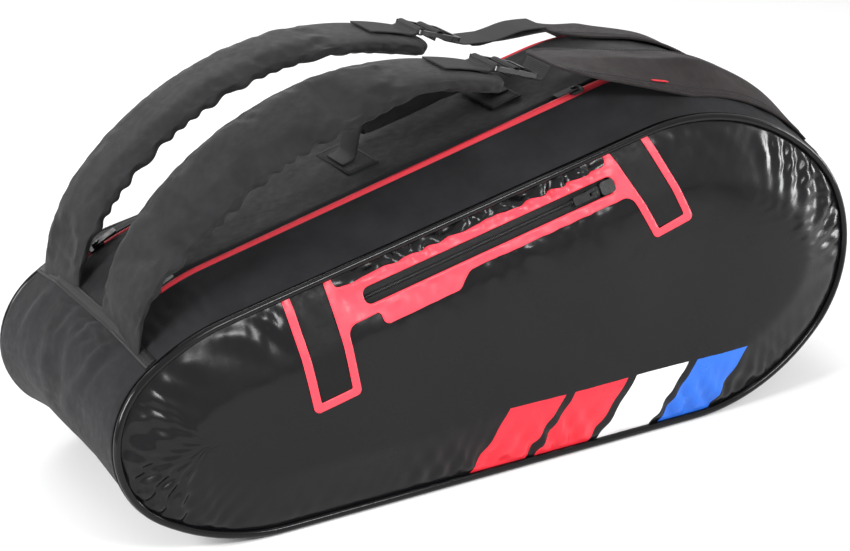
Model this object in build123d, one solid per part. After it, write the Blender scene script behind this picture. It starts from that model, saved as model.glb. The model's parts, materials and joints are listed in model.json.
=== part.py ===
from build123d import *
import os
from functools import lru_cache
from math import asin, atan2, cos, degrees, hypot, radians, sin, sqrt, tan

os.makedirs("parts", exist_ok=True)

# A padded racket bag that stands on its flat bottom.  +X runs from the heel (handle) end to the
# taller head end, the glossy front panel faces -Y, and the floor is Z = 0.  Lengths are in mm.

# --- Bag shell -------------------------------------------------------------------------------
LENGTH = 760.0
HEEL_HEIGHT = 204.0
HEAD_HEIGHT = 292.0
HEEL_END_RADIUS = 80.0
HEEL_SHOULDER_RADIUS = 200.0
HEAD_END_RADIUS = 120.0
HEAD_SHOULDER_RADIUS = 215.0
BASE_DEPTH = 288.0
LEAN = 6.0
HEEL_RISE = 26.0
HEAD_RISE = 34.0
GUSSET_WALL = 3.0
HEEL_SEAM_ANGLE = 118.0
HEAD_SEAM_ANGLE = 45.0
BINDING_WIDTH = 9.0
BINDING_THICKNESS = 1.2
CLEARANCE = 0.3

# --- Panels, piping and lining ---------------------------------------------------------------
PIPING_RADIUS = 3.5
PIPING_GAP = 0.15
CROWN_STEPS = ((8.0, 4.0), (52.0, 16.0))
PANEL_SKIN = 1.5
FOAM_THICKNESS = 5.0
LINING_THICKNESS = 1.0
BOARD_THICKNESS = 4.0
BOARD_DEPTH = 262.0
BOARD_CORNER = 20.0
BOARD_END_GAP = 8.0
DIVIDER_THICKNESS = 5.0

# --- Main zips -------------------------------------------------------------------------------
ZIP_LINE_Y = 62.0
ZIP_SLOT = 13.0
TAPE_WIDTH = 24.0
TAPE_THICKNESS = 1.0
COIL_WIDTH = 3.0
COIL_DEPTH = 1.6
STOP_LENGTH = 6.0
SLIDER_LENGTH = 14.0
SLIDER_WIDTH = 9.0
SLIDER_PLATE = 1.8
SLIDER_LIP = 1.2
BRIDGE_LENGTH = 6.4
BRIDGE_WIDTH = 2.4
BRIDGE_HEIGHT = 4.0
PIVOT_RADIUS = 0.9
PIVOT_CLEARANCE = 0.08
PULL_LENGTH = 22.0
PULL_WIDTH = 8.0
PULL_THICKNESS = 1.5
FRONT_PARK = 20.0
BACK_PARK = 95.0
HEEL_PARK_ANGLE = 14.0

# --- Front pocket and its trim ---------------------------------------------------------------
POCKET_INSET = 31.0
POCKET_MIDDLE = -26.0
POCKET_LENGTH = 262.0
POCKET_SLOT = 15.0
POCKET_RAIL = 8.5
NECK_ROOM = 2.0
POUCH_DROP = 110.0
POUCH_DEPTH = 9.0
POUCH_WALL = 0.8
POUCH_FRONT_GAP = 1.0
NECK_REACH = 40.0
GARAGE_LENGTH = 15.0
GARAGE_RISE = 2.6
TRIM_THICKNESS = 1.0
PATCH_WIDTH = 47.0
PATCH_LENGTH = 112.0
PATCH_BORDER = 7.5
PATCH_TOP_GAP = 2.0
LEFT_PATCH_GAP = 45.0
RIGHT_PATCH_GAP = 33.0
RIGHT_PATCH_LEAN = 19.0

# --- Carrying handle -------------------------------------------------------------------------
HANDLE_MIDDLE_X = -17.0
HANDLE_SPAN = 184.0
HANDLE_WEB_WIDTH = 30.0
HANDLE_WEB = 2.4
HANDLE_HEIGHT = 30.0
ANCHOR_LENGTH = 32.0
ANCHOR_WIDTH = 56.0
LEG_RUN = 14.0
LEG_CUT = 7.5
GRIP_END_GAP = 31.0
GRIP_LENGTH = HANDLE_SPAN - 2 * GRIP_END_GAP
GRIP_WIDTH = 34.0
GRIP_THICKNESS = 22.0
GRIP_CORNER = 8.0

# --- Shoulder straps -------------------------------------------------------------------------
STRAP_Y = 66.0
PAD_WIDTH = 82.0
PAD_THICKNESS = 16.0
PAD_COVER = 1.5
PAD_END_RADIUS = 22.0
PAD_ROOT = (37.0 - LENGTH / 2, HEEL_HEIGHT - 14.0)
PAD_HEADINGS = (82.0, 47.0, -20.0)
PAD_RADII = (150.0, 300.0)
PAD_SINK = 24.0
HEEL_CUT_X = PAD_ROOT[0] + 31.0
HEAD_CUT_X = 150.0
STRAP_WEB_WIDTH = 38.0
STRAP_WEB = 1.6
TAB_WIDTH = 40.0
TAB_LENGTH = 52.0
TAB_THICKNESS = 2.0
BUCKLE_LENGTH = 42.0
BUCKLE_WIDTH = 48.0
BUCKLE_THICKNESS = 4.0
BUCKLE_RAIL = 3.6
BUCKLE_BAR = 3.6
BUCKLE_RISE = 6.0
BUCKLE_BACKSET = 8.0
BUCKLE_HEADING = -18.0
WING_WIDTH = 82.0
WING_THICKNESS = 2.4
WING_LEAVE_ANGLE = 9.5
WING_LAP_EDGE = 98.0
FRONT_WING_REACH = 82.0
RUN_LEAD = 4.0

FAR = 1200.0
OVER_BINDING = BINDING_THICKNESS + 2 * CLEARANCE
PIPING_INSET = PIPING_RADIUS + 0.1
PANEL_INSET = PIPING_INSET + PIPING_RADIUS + PIPING_GAP


def polar(centre, radius, angle):
    """The point at an angle in degrees on a circle."""
    return (centre[0] + radius * cos(radians(angle)), centre[1] + radius * sin(radians(angle)))


def arc(centre, radius, start, end):
    """A circular edge between two angles, drawn in the local XY plane."""
    return ThreePointArc(*(polar(centre, radius, a) for a in (start, (start + end) / 2, end)))


def closed(edges):
    """A face bounded by edges that meet end to end."""
    return make_face(Wire(edges))


def side_shape(risen):
    """Arc centres, radii and tangent angles of the bag's side, at the piping or risen to the zips."""
    shape = {}
    for name, sign, height, rise, end_radius, shoulder_radius in (
        ("heel", -1, HEEL_HEIGHT, HEEL_RISE, HEEL_END_RADIUS, HEEL_SHOULDER_RADIUS),
        ("head", 1, HEAD_HEIGHT, HEAD_RISE, HEAD_END_RADIUS, HEAD_SHOULDER_RADIUS),
    ):
        top = height + (rise if risen else 0.0)
        drop = shoulder_radius - top / 2
        reach = sqrt((shoulder_radius - end_radius) ** 2 - drop**2)
        end_x = sign * (LENGTH / 2 - end_radius)
        shape[name] = {
            "end": (end_x, top / 2),
            "end_radius": end_radius,
            "radius": shoulder_radius,
            "low": (end_x - sign * reach, shoulder_radius),
            "high": (end_x - sign * reach, top - shoulder_radius),
            "join": degrees(atan2(drop, sign * reach)),
        }
    heel, head = shape["heel"], shape["head"]
    run = head["high"][0] - heel["high"][0]
    climb = head["high"][1] - heel["high"][1]
    gap = asin((heel["radius"] - head["radius"]) / hypot(run, climb))
    shape["slope"] = degrees(atan2(climb, run) - gap)
    shape["start"] = polar(heel["high"], heel["radius"], 90 + shape["slope"])
    shape["stop"] = polar(head["high"], head["radius"], 90 + shape["slope"])
    return shape


RIM, RIDGE = side_shape(False), side_shape(True)


def outline_edges(grow, shape):
    """The side outline offset by grow: bottom, head end, sloping top and heel end."""
    heel, head = shape["heel"], shape["head"]
    up = 90 + shape["slope"]
    heel_r, head_r = heel["radius"] + grow, head["radius"] + grow
    top_head, top_heel = polar(head["high"], head_r, up), polar(heel["high"], heel_r, up)
    return [
        Line(polar(heel["low"], heel_r, -90), polar(head["low"], head_r, -90)),
        arc(head["low"], head_r, -90, -head["join"]),
        arc(head["end"], head["end_radius"] + grow, -head["join"], head["join"]),
        arc(head["high"], head_r, head["join"], up),
        Line(top_head, top_heel),
        arc(heel["high"], heel_r, up, heel["join"]),
        arc(heel["end"], heel["end_radius"] + grow, heel["join"], 360 - heel["join"]),
        arc(heel["low"], heel_r, 360 - heel["join"], 270),
    ]


def outline(grow, shape=RIM):
    return closed(outline_edges(grow, shape))


def panel_plane(out=0.0, side=-1):
    """The leaning plane of a panel, moved outwards by out, with its origin on the floor."""
    y = side * (BASE_DEPTH / 2 + out / cos(radians(LEAN)))
    return Plane((0, y, 0), x_dir=(1, 0, 0), z_dir=(0, -cos(radians(LEAN)), -side * sin(radians(LEAN))))


def upright_plane(y):
    """A plane across Y whose local Y is up."""
    return Plane((0, y, 0), x_dir=(1, 0, 0), z_dir=(0, -1, 0))


def from_front(face, depth_from, depth_to):
    """A side-view face made a block between two Y values."""
    block = extrude(face, depth_to - depth_from, dir=(0, 0, -1))
    return upright_plane(depth_from).location * block


@lru_cache(maxsize=None)
def hull(grow, edge=PIPING_RADIUS + PIPING_GAP):
    """The whole bag between its pipings, offset by grow, as a block with ruled sides."""
    sections = [
        panel_plane(-edge).location * outline(grow),
        upright_plane(-ZIP_LINE_Y).location * outline(grow, RIDGE),
        upright_plane(ZIP_LINE_Y).location * outline(grow, RIDGE),
        panel_plane(-edge, 1).location * outline(grow),
    ]
    return loft(sections, ruled=True)


@lru_cache(maxsize=None)
def shell(high, low):
    """The wall between two offsets of the bag's outside."""
    return hull(high) - hull(low, PIPING_RADIUS + PIPING_GAP - 1)


def across(face):
    """A side-view face made a block over the bag's whole depth."""
    return from_front(face, -BASE_DEPTH, BASE_DEPTH)


def y_band(middle, width):
    """Everything within half a width of one Y value."""
    return Pos(0, middle, 0) * Box(2 * FAR, width, 2 * FAR)


def half_space(point, normal):
    """Everything on the side of a plane that its normal points to."""
    block = Box(2 * FAR, 2 * FAR, FAR, align=(Align.CENTER, Align.CENTER, Align.MIN))
    return Plane(point, z_dir=normal).location * block


@lru_cache(maxsize=None)
def top_region():
    """The block above the two end seams, where the three top strips lie."""
    heel, head = RIM["heel"]["end"], RIM["head"]["end"]
    corners = [
        heel,
        polar(heel, FAR, HEEL_SEAM_ANGLE),
        (0, FAR),
        polar(head, FAR, HEAD_SEAM_ANGLE),
        head,
    ]
    return across(make_face(Polyline(*corners, close=True)))


def seam_slab(end, angle, width):
    """A slab along an end seam, for the binding sewn over it."""
    slab = Pos(*polar(end["end"], end["end_radius"], angle)) * Rot(0, 0, angle)
    return across(slab * Rectangle(end["end_radius"], width))


@lru_cache(maxsize=None)
def pillow(grow, side=-1):
    """The crowned panel offset by grow: a base outline and two smaller ones further out."""
    levels = [(PANEL_INSET, 0.0)] + [(PANEL_INSET + inset, out) for inset, out in CROWN_STEPS]
    faces = [panel_plane(out + grow, side).location * outline(grow - inset) for inset, out in levels]
    return loft(faces, ruled=True)


def facet_plane():
    """The flat facet under the top of the front panel, at the pocket zip's middle."""
    (inset_a, out_a), (inset_b, out_b) = CROWN_STEPS
    base = panel_plane()
    slope = radians(RIM["slope"])
    along = (cos(slope), sin(slope))
    tilt = atan2(out_b - out_a, inset_b - inset_a)
    out = out_a + (POCKET_INSET - PANEL_INSET - inset_a) * tan(tilt)
    middle_x, middle_z = RIM["start"][0], RIM["start"][1]
    step = (POCKET_MIDDLE - middle_x) / along[0]
    x = middle_x + step * along[0] + POCKET_INSET * along[1]
    v = middle_z + step * along[1] - POCKET_INSET * along[0]
    u_dir = base.x_dir * along[0] + base.y_dir * along[1]
    in_dir = base.x_dir * along[1] - base.y_dir * along[0]
    normal = base.z_dir * cos(tilt) - in_dir * sin(tilt)
    origin = panel_plane(out).location * Location((x, v, 0))
    return Plane(origin.position, x_dir=u_dir, z_dir=normal)


POCKET = facet_plane()


def on_plane(plane, solid):
    return plane.location * solid


def block(x0, x1, y0, y1, z0, z1):
    """A box between two corners in local axes."""
    return Pos((x0 + x1) / 2, (y0 + y1) / 2, (z0 + z1) / 2) * Box(x1 - x0, y1 - y0, z1 - z0)


# --- Shell, panels and piping ----------------------------------------------------------------
def gusset_parts():
    """The bag's wall: one lower gusset and three top strips with a slot at each zip."""
    wall = shell(0.0, -GUSSET_WALL)
    region = top_region()
    parts = {"gusset": wall - region}
    top = wall & region
    inner = ZIP_LINE_Y - ZIP_SLOT / 2
    outer = ZIP_LINE_Y + ZIP_SLOT / 2
    parts["top_strip_centre"] = top & y_band(0, 2 * inner)
    parts["top_strip_front"] = top & y_band(-outer - FAR / 2, FAR)
    parts["top_strip_back"] = top & y_band(outer + FAR / 2, FAR)
    skin = shell(CLEARANCE + BINDING_THICKNESS, CLEARANCE)
    for name, end, angle in (("heel", RIM["heel"], HEEL_SEAM_ANGLE), ("head", RIM["head"], HEAD_SEAM_ANGLE)):
        parts[f"{name}_seam_binding"] = skin & seam_slab(end, angle, BINDING_WIDTH)
    return parts


def panel_parts():
    """Each side: piping, glossy skin, foam and lining; the front ones have the pocket's slot."""
    parts = {}
    slot = on_plane(POCKET, Box(POCKET_LENGTH, POCKET_SLOT, 10))
    deep_slot = panel_plane().location * extrude(pocket_face(NECK_ROOM), FAR, both=True)
    layers = {
        "panel": (0.0, -PANEL_SKIN),
        "foam": (-PANEL_SKIN, -PANEL_SKIN - FOAM_THICKNESS),
        "lining": (-PANEL_SKIN - FOAM_THICKNESS, -PANEL_SKIN - FOAM_THICKNESS - LINING_THICKNESS),
    }
    for side, name in ((-1, "front"), (1, "back")):
        for layer, (high, low) in layers.items():
            sheet = pillow(high, side) - pillow(low, side)
            if side < 0:
                sheet -= slot if layer == "panel" else deep_slot
            parts[f"{name}_{layer}"] = sheet
        plane = panel_plane(0, side)
        path = plane.location * Wire(outline_edges(-PIPING_INSET, RIM))
        start = path @ 0
        section = Plane(start, z_dir=path % 0).location * Circle(PIPING_RADIUS)
        parts[f"{name}_piping"] = sweep(section, path=path)
    return parts


def board_box(grow):
    """The stiff board on the flat of the bottom, offset by grow."""
    x0 = RIM["heel"]["low"][0] + BOARD_END_GAP - grow
    x1 = RIM["head"]["low"][0] - BOARD_END_GAP + grow
    plate = RectangleRounded(x1 - x0, BOARD_DEPTH + 2 * grow, BOARD_CORNER + grow)
    z0 = GUSSET_WALL + CLEARANCE - grow
    return Pos((x0 + x1) / 2, 0, z0) * extrude(plate, BOARD_THICKNESS + 2 * grow)


def inside_parts():
    """The base board and the padded wall between the two compartments."""
    wall = outline(-GUSSET_WALL - CLEARANCE, RIDGE)
    divider = from_front(wall, -DIVIDER_THICKNESS / 2, DIVIDER_THICKNESS / 2)
    return {"base_board": board_box(0.0), "compartment_divider": divider - board_box(CLEARANCE)}


# --- Zips ------------------------------------------------------------------------------------
def slider_solid(depth):
    """A zip slider over a coil whose top lies depth below z = 0, with a bridge for the pull."""
    floor = -depth + CLEARANCE
    plate_top = floor + SLIDER_PLATE
    body = block(-SLIDER_LENGTH / 2, SLIDER_LENGTH / 2, -SLIDER_WIDTH / 2, SLIDER_WIDTH / 2, floor, plate_top)
    body = fillet(body.edges().filter_by(Axis.Z), SLIDER_WIDTH / 4)
    for sign in (-1, 1):
        lip_out, lip_in = sign * (SLIDER_WIDTH / 2 - 0.2), sign * (SLIDER_WIDTH / 2 - 0.2 - SLIDER_LIP)
        lip = block(-SLIDER_LENGTH / 3, SLIDER_LENGTH / 3, min(lip_out, lip_in), max(lip_out, lip_in),
                    floor - SLIDER_LIP, floor + 0.2)
        body += lip
    pivot = pivot_height(depth)
    bridge = block(-BRIDGE_LENGTH / 2, BRIDGE_LENGTH / 2, -BRIDGE_WIDTH / 2, BRIDGE_WIDTH / 2,
                   plate_top, plate_top + BRIDGE_HEIGHT)
    bridge = fillet(bridge.edges().filter_by(Axis.Y).group_by(Axis.Z)[-1], BRIDGE_HEIGHT / 3)
    hole = Pos(0, 0, pivot) * Rot(90, 0, 0) * Cylinder(PIVOT_RADIUS + PIVOT_CLEARANCE, 2 * SLIDER_WIDTH)
    return body + bridge - hole


def pivot_height(depth):
    """Height of the pull's axis above the zip's surface."""
    return -depth + CLEARANCE + SLIDER_PLATE + BRIDGE_HEIGHT / 2 - 0.1


def pull_solid(depth, direction):
    """A pull lying along the zip from its axis: crossbar, two arms and a gripped tab."""
    z = pivot_height(depth)
    bar = Pos(0, 0, z) * Rot(90, 0, 0) * Cylinder(PIVOT_RADIUS, PULL_WIDTH)
    arm_in = BRIDGE_WIDTH / 2 + CLEARANCE
    reach = BRIDGE_LENGTH / 2 + 2 * CLEARANCE + 1
    pull = bar
    for sign in (-1, 1):
        y0, y1 = sorted((sign * arm_in, sign * PULL_WIDTH / 2))
        x0, x1 = sorted((0.0, direction * (reach + 1)))
        pull += block(x0, x1, y0, y1, z - PIVOT_RADIUS * 0.8, z + PIVOT_RADIUS * 0.8)
    x0, x1 = sorted((direction * reach, direction * PULL_LENGTH))
    tab = block(x0, x1, -PULL_WIDTH / 2, PULL_WIDTH / 2, z - PULL_THICKNESS / 2, z + PULL_THICKNESS / 2)
    tab = fillet(tab.edges().filter_by(Axis.Z), PULL_WIDTH / 4)
    return pull + tab


def ridge_plane(x, y):
    """The plane tangent to the sloping top at x, with its local X along the zip."""
    slope = radians(RIDGE["slope"])
    z = RIDGE["start"][1] + (x - RIDGE["start"][0]) * tan(slope)
    return Plane((x, y, z), x_dir=(cos(slope), 0, sin(slope)), z_dir=(-sin(slope), 0, cos(slope)))


def shoulder_plane(y):
    """The plane tangent to the heel shoulder where the heel slider is parked."""
    heel = RIDGE["heel"]
    angle = 90 + RIDGE["slope"] + HEEL_PARK_ANGLE
    x, z = polar(heel["high"], heel["radius"], angle)
    turn = radians(angle - 90)
    return Plane((x, y, z), x_dir=(cos(turn), 0, sin(turn)), z_dir=(-sin(turn), 0, cos(turn)))


def main_zip_parts():
    """Per zip: two tapes, the coil, end stops, a slider at each end and their pulls."""
    parts = {}
    region = top_region()
    under = GUSSET_WALL + 0.2
    tape_wall = shell(-under, -under - TAPE_THICKNESS) & region
    coil_wall = shell(-COIL_DEPTH, -under - TAPE_THICKNESS) & region
    stop_wall = shell(-COIL_DEPTH + 0.6, -under - TAPE_THICKNESS) & region
    for side, name, park in ((-1, "front", FRONT_PARK), (1, "back", BACK_PARK)):
        y = side * ZIP_LINE_Y
        coil_band = y_band(y, COIL_WIDTH)
        ends = [seam_slab(RIM["heel"], HEEL_SEAM_ANGLE, 2 * STOP_LENGTH),
                seam_slab(RIM["head"], HEAD_SEAM_ANGLE, 2 * STOP_LENGTH)]
        parts[f"{name}_zip_tapes"] = (tape_wall & y_band(y, TAPE_WIDTH)) - y_band(y, COIL_WIDTH + 0.2)
        parts[f"{name}_zip_coil"] = (coil_wall & coil_band) - ends[0] - ends[1]
        stops = [stop_wall & coil_band & end for end in ends]
        parts[f"{name}_zip_stops"] = Compound([solid for stop in stops for solid in stop.solids()])
        places = {"heel": (shoulder_plane(y), 1), "head": (ridge_plane(RIDGE["stop"][0] - park, y), -1)}
        for end, (plane, direction) in places.items():
            parts[f"{name}_zip_slider_{end}"] = on_plane(plane, slider_solid(COIL_DEPTH))
            parts[f"{name}_zip_pull_{end}"] = on_plane(plane, pull_solid(COIL_DEPTH, direction))
    return parts


# --- Pocket ----------------------------------------------------------------------------------
def trim_layer(face):
    """A thin trim over the crowned front panel, cut to a shape drawn on the panel's plane."""
    cutter = panel_plane().location * extrude(face & outline(-PANEL_INSET - PATCH_TOP_GAP), FAR)
    low = CLEARANCE
    return (pillow(low + TRIM_THICKNESS) - pillow(low)) & cutter


def pocket_frame():
    """Local axes on the panel plane: along the pocket's zip, with the origin at its middle."""
    slope = RIM["slope"]
    middle = (POCKET_MIDDLE - RIM["start"][0]) / cos(radians(slope))
    return Pos(*RIM["start"]) * Rot(0, 0, slope) * Pos(middle, -POCKET_INSET)


def pocket_face(grow):
    """The pocket's slot on the panel plane, offset by grow."""
    return pocket_frame() * Rectangle(POCKET_LENGTH + 2 * grow, POCKET_SLOT + 2 * grow)


def patch_face(along, lean, border):
    """A patch hanging from the panel's top edge, turned by lean from square; border shrinks it."""
    top = (POCKET_INSET - PANEL_INSET - PATCH_TOP_GAP) / cos(radians(lean))
    length = PATCH_LENGTH - border
    middle = Pos(0, top - length / 2) * Rectangle(PATCH_WIDTH - 2 * border, length)
    return pocket_frame() * Pos(along, 0) * Rot(0, 0, lean) * middle


def pocket_parts():
    """The red trim, the two dark patches, the zip in its slot, its garage and the pouch behind."""
    parts = {}
    frame = pocket_face(POCKET_RAIL)
    places = (("left", -POCKET_LENGTH / 2 - LEFT_PATCH_GAP, 0.0),
              ("right", POCKET_LENGTH / 2 + RIGHT_PATCH_GAP, RIGHT_PATCH_LEAN))
    for name, along, lean in places:
        frame += patch_face(along, lean, 0.0)
        frame += pocket_frame() * Pos(along / 2, 0) * Rectangle(abs(along), POCKET_SLOT + 2 * POCKET_RAIL)
    for name, along, lean in places:
        inner = patch_face(along, lean, PATCH_BORDER)
        frame -= inner
        dark = patch_face(along, lean, PATCH_BORDER + 0.2)
        parts[f"{name}_strap_patch"] = trim_layer(dark)
    parts["pocket_trim"] = trim_layer(frame - pocket_face(0.0))
    half, tall = POCKET_LENGTH / 2 - CLEARANCE, POCKET_SLOT / 2 - CLEARANCE
    top = -COIL_DEPTH - SLIDER_LIP
    low = top - TAPE_THICKNESS
    tapes = [block(-half, half, *sorted((s * (COIL_WIDTH / 2 + 0.1), s * tall)), low, top) for s in (-1, 1)]
    parts["pocket_zip_tapes"] = on_plane(POCKET, Compound(tapes))
    garage_start = half - GARAGE_LENGTH
    parts["pocket_zip_coil"] = on_plane(
        POCKET, block(-half, garage_start - CLEARANCE, -COIL_WIDTH / 2, COIL_WIDTH / 2, low, -COIL_DEPTH))
    garage = block(garage_start, half, 1 - tall, tall - 1, top + CLEARANCE, GARAGE_RISE)
    parts["pocket_zip_garage"] = on_plane(POCKET, fillet(garage.edges().filter_by(Axis.Z), tall / 2))
    park = Pos(garage_start - SLIDER_LENGTH / 2 - 2 * CLEARANCE, 0, 0)
    parts["pocket_zip_slider"] = on_plane(POCKET, park * slider_solid(COIL_DEPTH))
    parts["pocket_zip_pull"] = on_plane(POCKET, park * pull_solid(COIL_DEPTH, -1))
    parts["pocket_pouch"] = pouch_solid()
    return parts


def pouch_solid():
    """The pocket's thin bag behind the lining: flat sewn pieces, with a neck up to the slot."""
    half = POCKET_LENGTH / 2 - CLEARANCE
    tall = POCKET_SLOT / 2 - CLEARANCE
    wall = POUCH_WALL
    front = -POUCH_FRONT_GAP
    back = front - POUCH_DEPTH
    inside, behind = half - wall, front - wall
    pieces = [
        block(-half, half, -POUCH_DROP, tall, back, back + wall),
        block(-half, half, -POUCH_DROP, -tall, behind, front),
        block(-inside, inside, -POUCH_DROP, wall - POUCH_DROP, back + wall, behind),
        block(-inside, inside, -tall, wall - tall, behind, NECK_REACH),
        block(-inside, inside, tall - wall, tall, back + wall, NECK_REACH),
    ]
    for sign in (-1, 1):
        x0, x1 = sorted((sign * inside, sign * half))
        pieces.append(block(x0, x1, -POUCH_DROP, -tall, back + wall, behind))
        pieces.append(block(x0, x1, -tall, tall, back + wall, NECK_REACH))
    under_tapes = -COIL_DEPTH - SLIDER_LIP - TAPE_THICKNESS - CLEARANCE
    above = on_plane(POCKET, block(-FAR / 2, FAR / 2, -FAR / 2, FAR / 2, under_tapes, FAR))
    placed = [panel_plane().location * (pocket_frame() * piece) - above for piece in pieces]
    return Compound([solid for piece in placed for solid in piece.solids()])


# --- Handle ----------------------------------------------------------------------------------
def ribbon(points, thickness):
    """A side-view band along a line of points, thickened to its left."""
    return make_face(Polyline(*points, *reversed(moved_line(points, thickness)), close=True))


def moved_line(points, distance):
    """The points of a polyline moved to its left by a distance, with mitred corners."""
    moved = []
    for number, (x, y) in enumerate(points):
        normals = []
        for a, b in ((number - 1, number), (number, number + 1)):
            if a >= 0 and b < len(points):
                dx, dy = points[b][0] - points[a][0], points[b][1] - points[a][1]
                normals.append((-dy / hypot(dx, dy), dx / hypot(dx, dy)))
        nx = sum(n[0] for n in normals) / len(normals)
        ny = sum(n[1] for n in normals) / len(normals)
        scale = distance / (nx * nx + ny * ny)
        moved.append((x + nx * scale, y + ny * scale))
    return moved


def side_extrude(plane, face, width):
    """A face drawn in a plane's X-Z, made a block centred on the plane's Y."""
    side = Plane(plane.origin, x_dir=plane.x_dir, z_dir=-plane.y_dir)
    return side.location * extrude(face, width / 2, both=True)


def handle_parts():
    """Two sewn anchors with the feet of the webbing, and the part that swings with its grip."""
    plane = ridge_plane(HANDLE_MIDDLE_X, 0)
    half, low = HANDLE_SPAN / 2, CLEARANCE
    anchors, webs = [], []
    for sign in (-1, 1):
        foot_in = half - ANCHOR_LENGTH / 2
        pad = block(*sorted((sign * (half - ANCHOR_LENGTH), sign * half)),
                    -ANCHOR_WIDTH / 2, ANCHOR_WIDTH / 2, low, low + HANDLE_WEB)
        anchors.append(on_plane(plane, pad))
        start_z = low + HANDLE_WEB
        points = [(sign * (half - 3), start_z), (sign * foot_in, start_z),
                  (sign * (foot_in - LEG_RUN), HANDLE_HEIGHT), (0, HANDLE_HEIGHT)]
        web = side_extrude(plane, ribbon(points, -sign * HANDLE_WEB), HANDLE_WEB_WIDTH)
        webs.append(web)
    whole = webs[0] + webs[1]
    cut = half - ANCHOR_LENGTH / 2 - LEG_CUT
    middle = on_plane(plane, Box(2 * cut - 2 * CLEARANCE, FAR, FAR))
    feet = whole - on_plane(plane, Box(2 * cut, FAR, FAR))
    grip = RectangleRounded(GRIP_WIDTH, GRIP_THICKNESS, GRIP_CORNER)
    hole = Rectangle(HANDLE_WEB_WIDTH + 2 * CLEARANCE, HANDLE_WEB + 2 * CLEARANCE)
    tube = extrude(grip - hole, GRIP_LENGTH / 2, both=True)
    centre = Plane(plane.origin + plane.z_dir * (HANDLE_HEIGHT + HANDLE_WEB / 2), x_dir=plane.y_dir,
                   z_dir=plane.x_dir)
    anchored = anchors[0] + anchors[1] + feet
    return {
        "handle_anchors": anchored,
        "handle_webbing": whole & middle,
        "handle_grip": on_plane(centre, tube),
    }


# --- Shoulder straps -------------------------------------------------------------------------
def strap_centres():
    """Centres of the pad's two arcs, from its root and first heading."""
    heading = PAD_HEADINGS[0]
    first = polar(PAD_ROOT, PAD_RADII[0], heading - 90)
    second = polar(first, PAD_RADII[0] - PAD_RADII[1], PAD_HEADINGS[1] + 90)
    return first, second


def strap_point(heading, out=0.0):
    """The point of the pad's outer line where it runs at a heading, moved outwards by out."""
    number = 0 if heading >= PAD_HEADINGS[1] else 1
    return polar(strap_centres()[number], PAD_RADII[number] + out, heading + 90)


def pad_face(high, low, stop, sink=PAD_SINK):
    """The pad's side view between two offsets, sunk below its root and ending at a heading."""
    first, second = strap_centres()
    start, middle = PAD_HEADINGS[0] + 90, PAD_HEADINGS[1] + 90
    heading = radians(PAD_HEADINGS[0])
    down = (-sink * cos(heading), -sink * sin(heading))
    top, bottom = polar(first, PAD_RADII[0] + high, start), polar(first, PAD_RADII[0] + low, start)
    top_down = (top[0] + down[0], top[1] + down[1])
    bottom_down = (bottom[0] + down[0], bottom[1] + down[1])
    edges = [
        Line(top_down, top),
        arc(first, PAD_RADII[0] + high, start, middle),
        arc(second, PAD_RADII[1] + high, middle, stop + 90),
        Line(polar(second, PAD_RADII[1] + high, stop + 90), polar(second, PAD_RADII[1] + low, stop + 90)),
        arc(second, PAD_RADII[1] + low, stop + 90, middle),
        arc(first, PAD_RADII[0] + low, middle, start),
        Line(bottom, bottom_down),
        Line(bottom_down, top_down),
    ]
    return closed(edges)


def wing_leave(out):
    """Where a wing leaves the bag's rounded head shoulder, at an offset from the bag's top."""
    head = RIDGE["head"]
    return polar(head["high"], head["radius"] + out, 90 - WING_LEAVE_ANGLE)


def wing_height(x, out):
    """Height above the floor of a wing's straight run, at an offset from the bag's top."""
    leave_x, leave_z = wing_leave(out)
    return leave_z + (leave_x - x) * tan(radians(WING_LEAVE_ANGLE))


def wing_solid(side, tip_x):
    """A wing: it lies on the crowned top round the head shoulder, then runs free to a level tip."""
    inner = STRAP_Y - WING_WIDTH / 2
    low, high = OVER_BINDING, OVER_BINDING + WING_THICKNESS
    leave_x = wing_leave(low)[0]
    band = y_band(side * (inner + WING_LAP_EDGE) / 2, WING_LAP_EDGE - inner)
    lap = shell(high, low) & top_region() & band & half_space((leave_x, 0, 0), (1, 0, 0))
    root_face = lap.faces().sort_by(Axis.X)[0]
    z0, z1 = wing_height(tip_x, low), wing_height(tip_x, high)
    rows = (inner, ZIP_LINE_Y, inner + WING_WIDTH)
    corners = [(tip_x, side * y, z0) for y in rows] + [(tip_x, side * y, z1) for y in reversed(rows)]
    tip_face = make_face(Polyline(*corners, close=True))
    return lap + loft([root_face, tip_face], ruled=True)


def pad_tip_edges(pad):
    """The two short edges at the corners of a pad's free end."""
    edges = pad.edges().filter_by(lambda edge: edge.length < PAD_THICKNESS + 1 and abs((edge % 0.5).Y) < 0.1)
    return edges.sort_by(Axis.X)[-2:]


def buckle_plane(y):
    """The buckle's plane: its origin is on the bar that the tab holds."""
    back = BUCKLE_BACKSET / PAD_RADII[1]
    point = strap_point(PAD_HEADINGS[2] + degrees(back), BUCKLE_RISE)
    turn = radians(BUCKLE_HEADING)
    return Plane((point[0], y, point[1]), x_dir=(cos(turn), 0, sin(turn)), z_dir=(-sin(turn), 0, cos(turn)))


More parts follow.
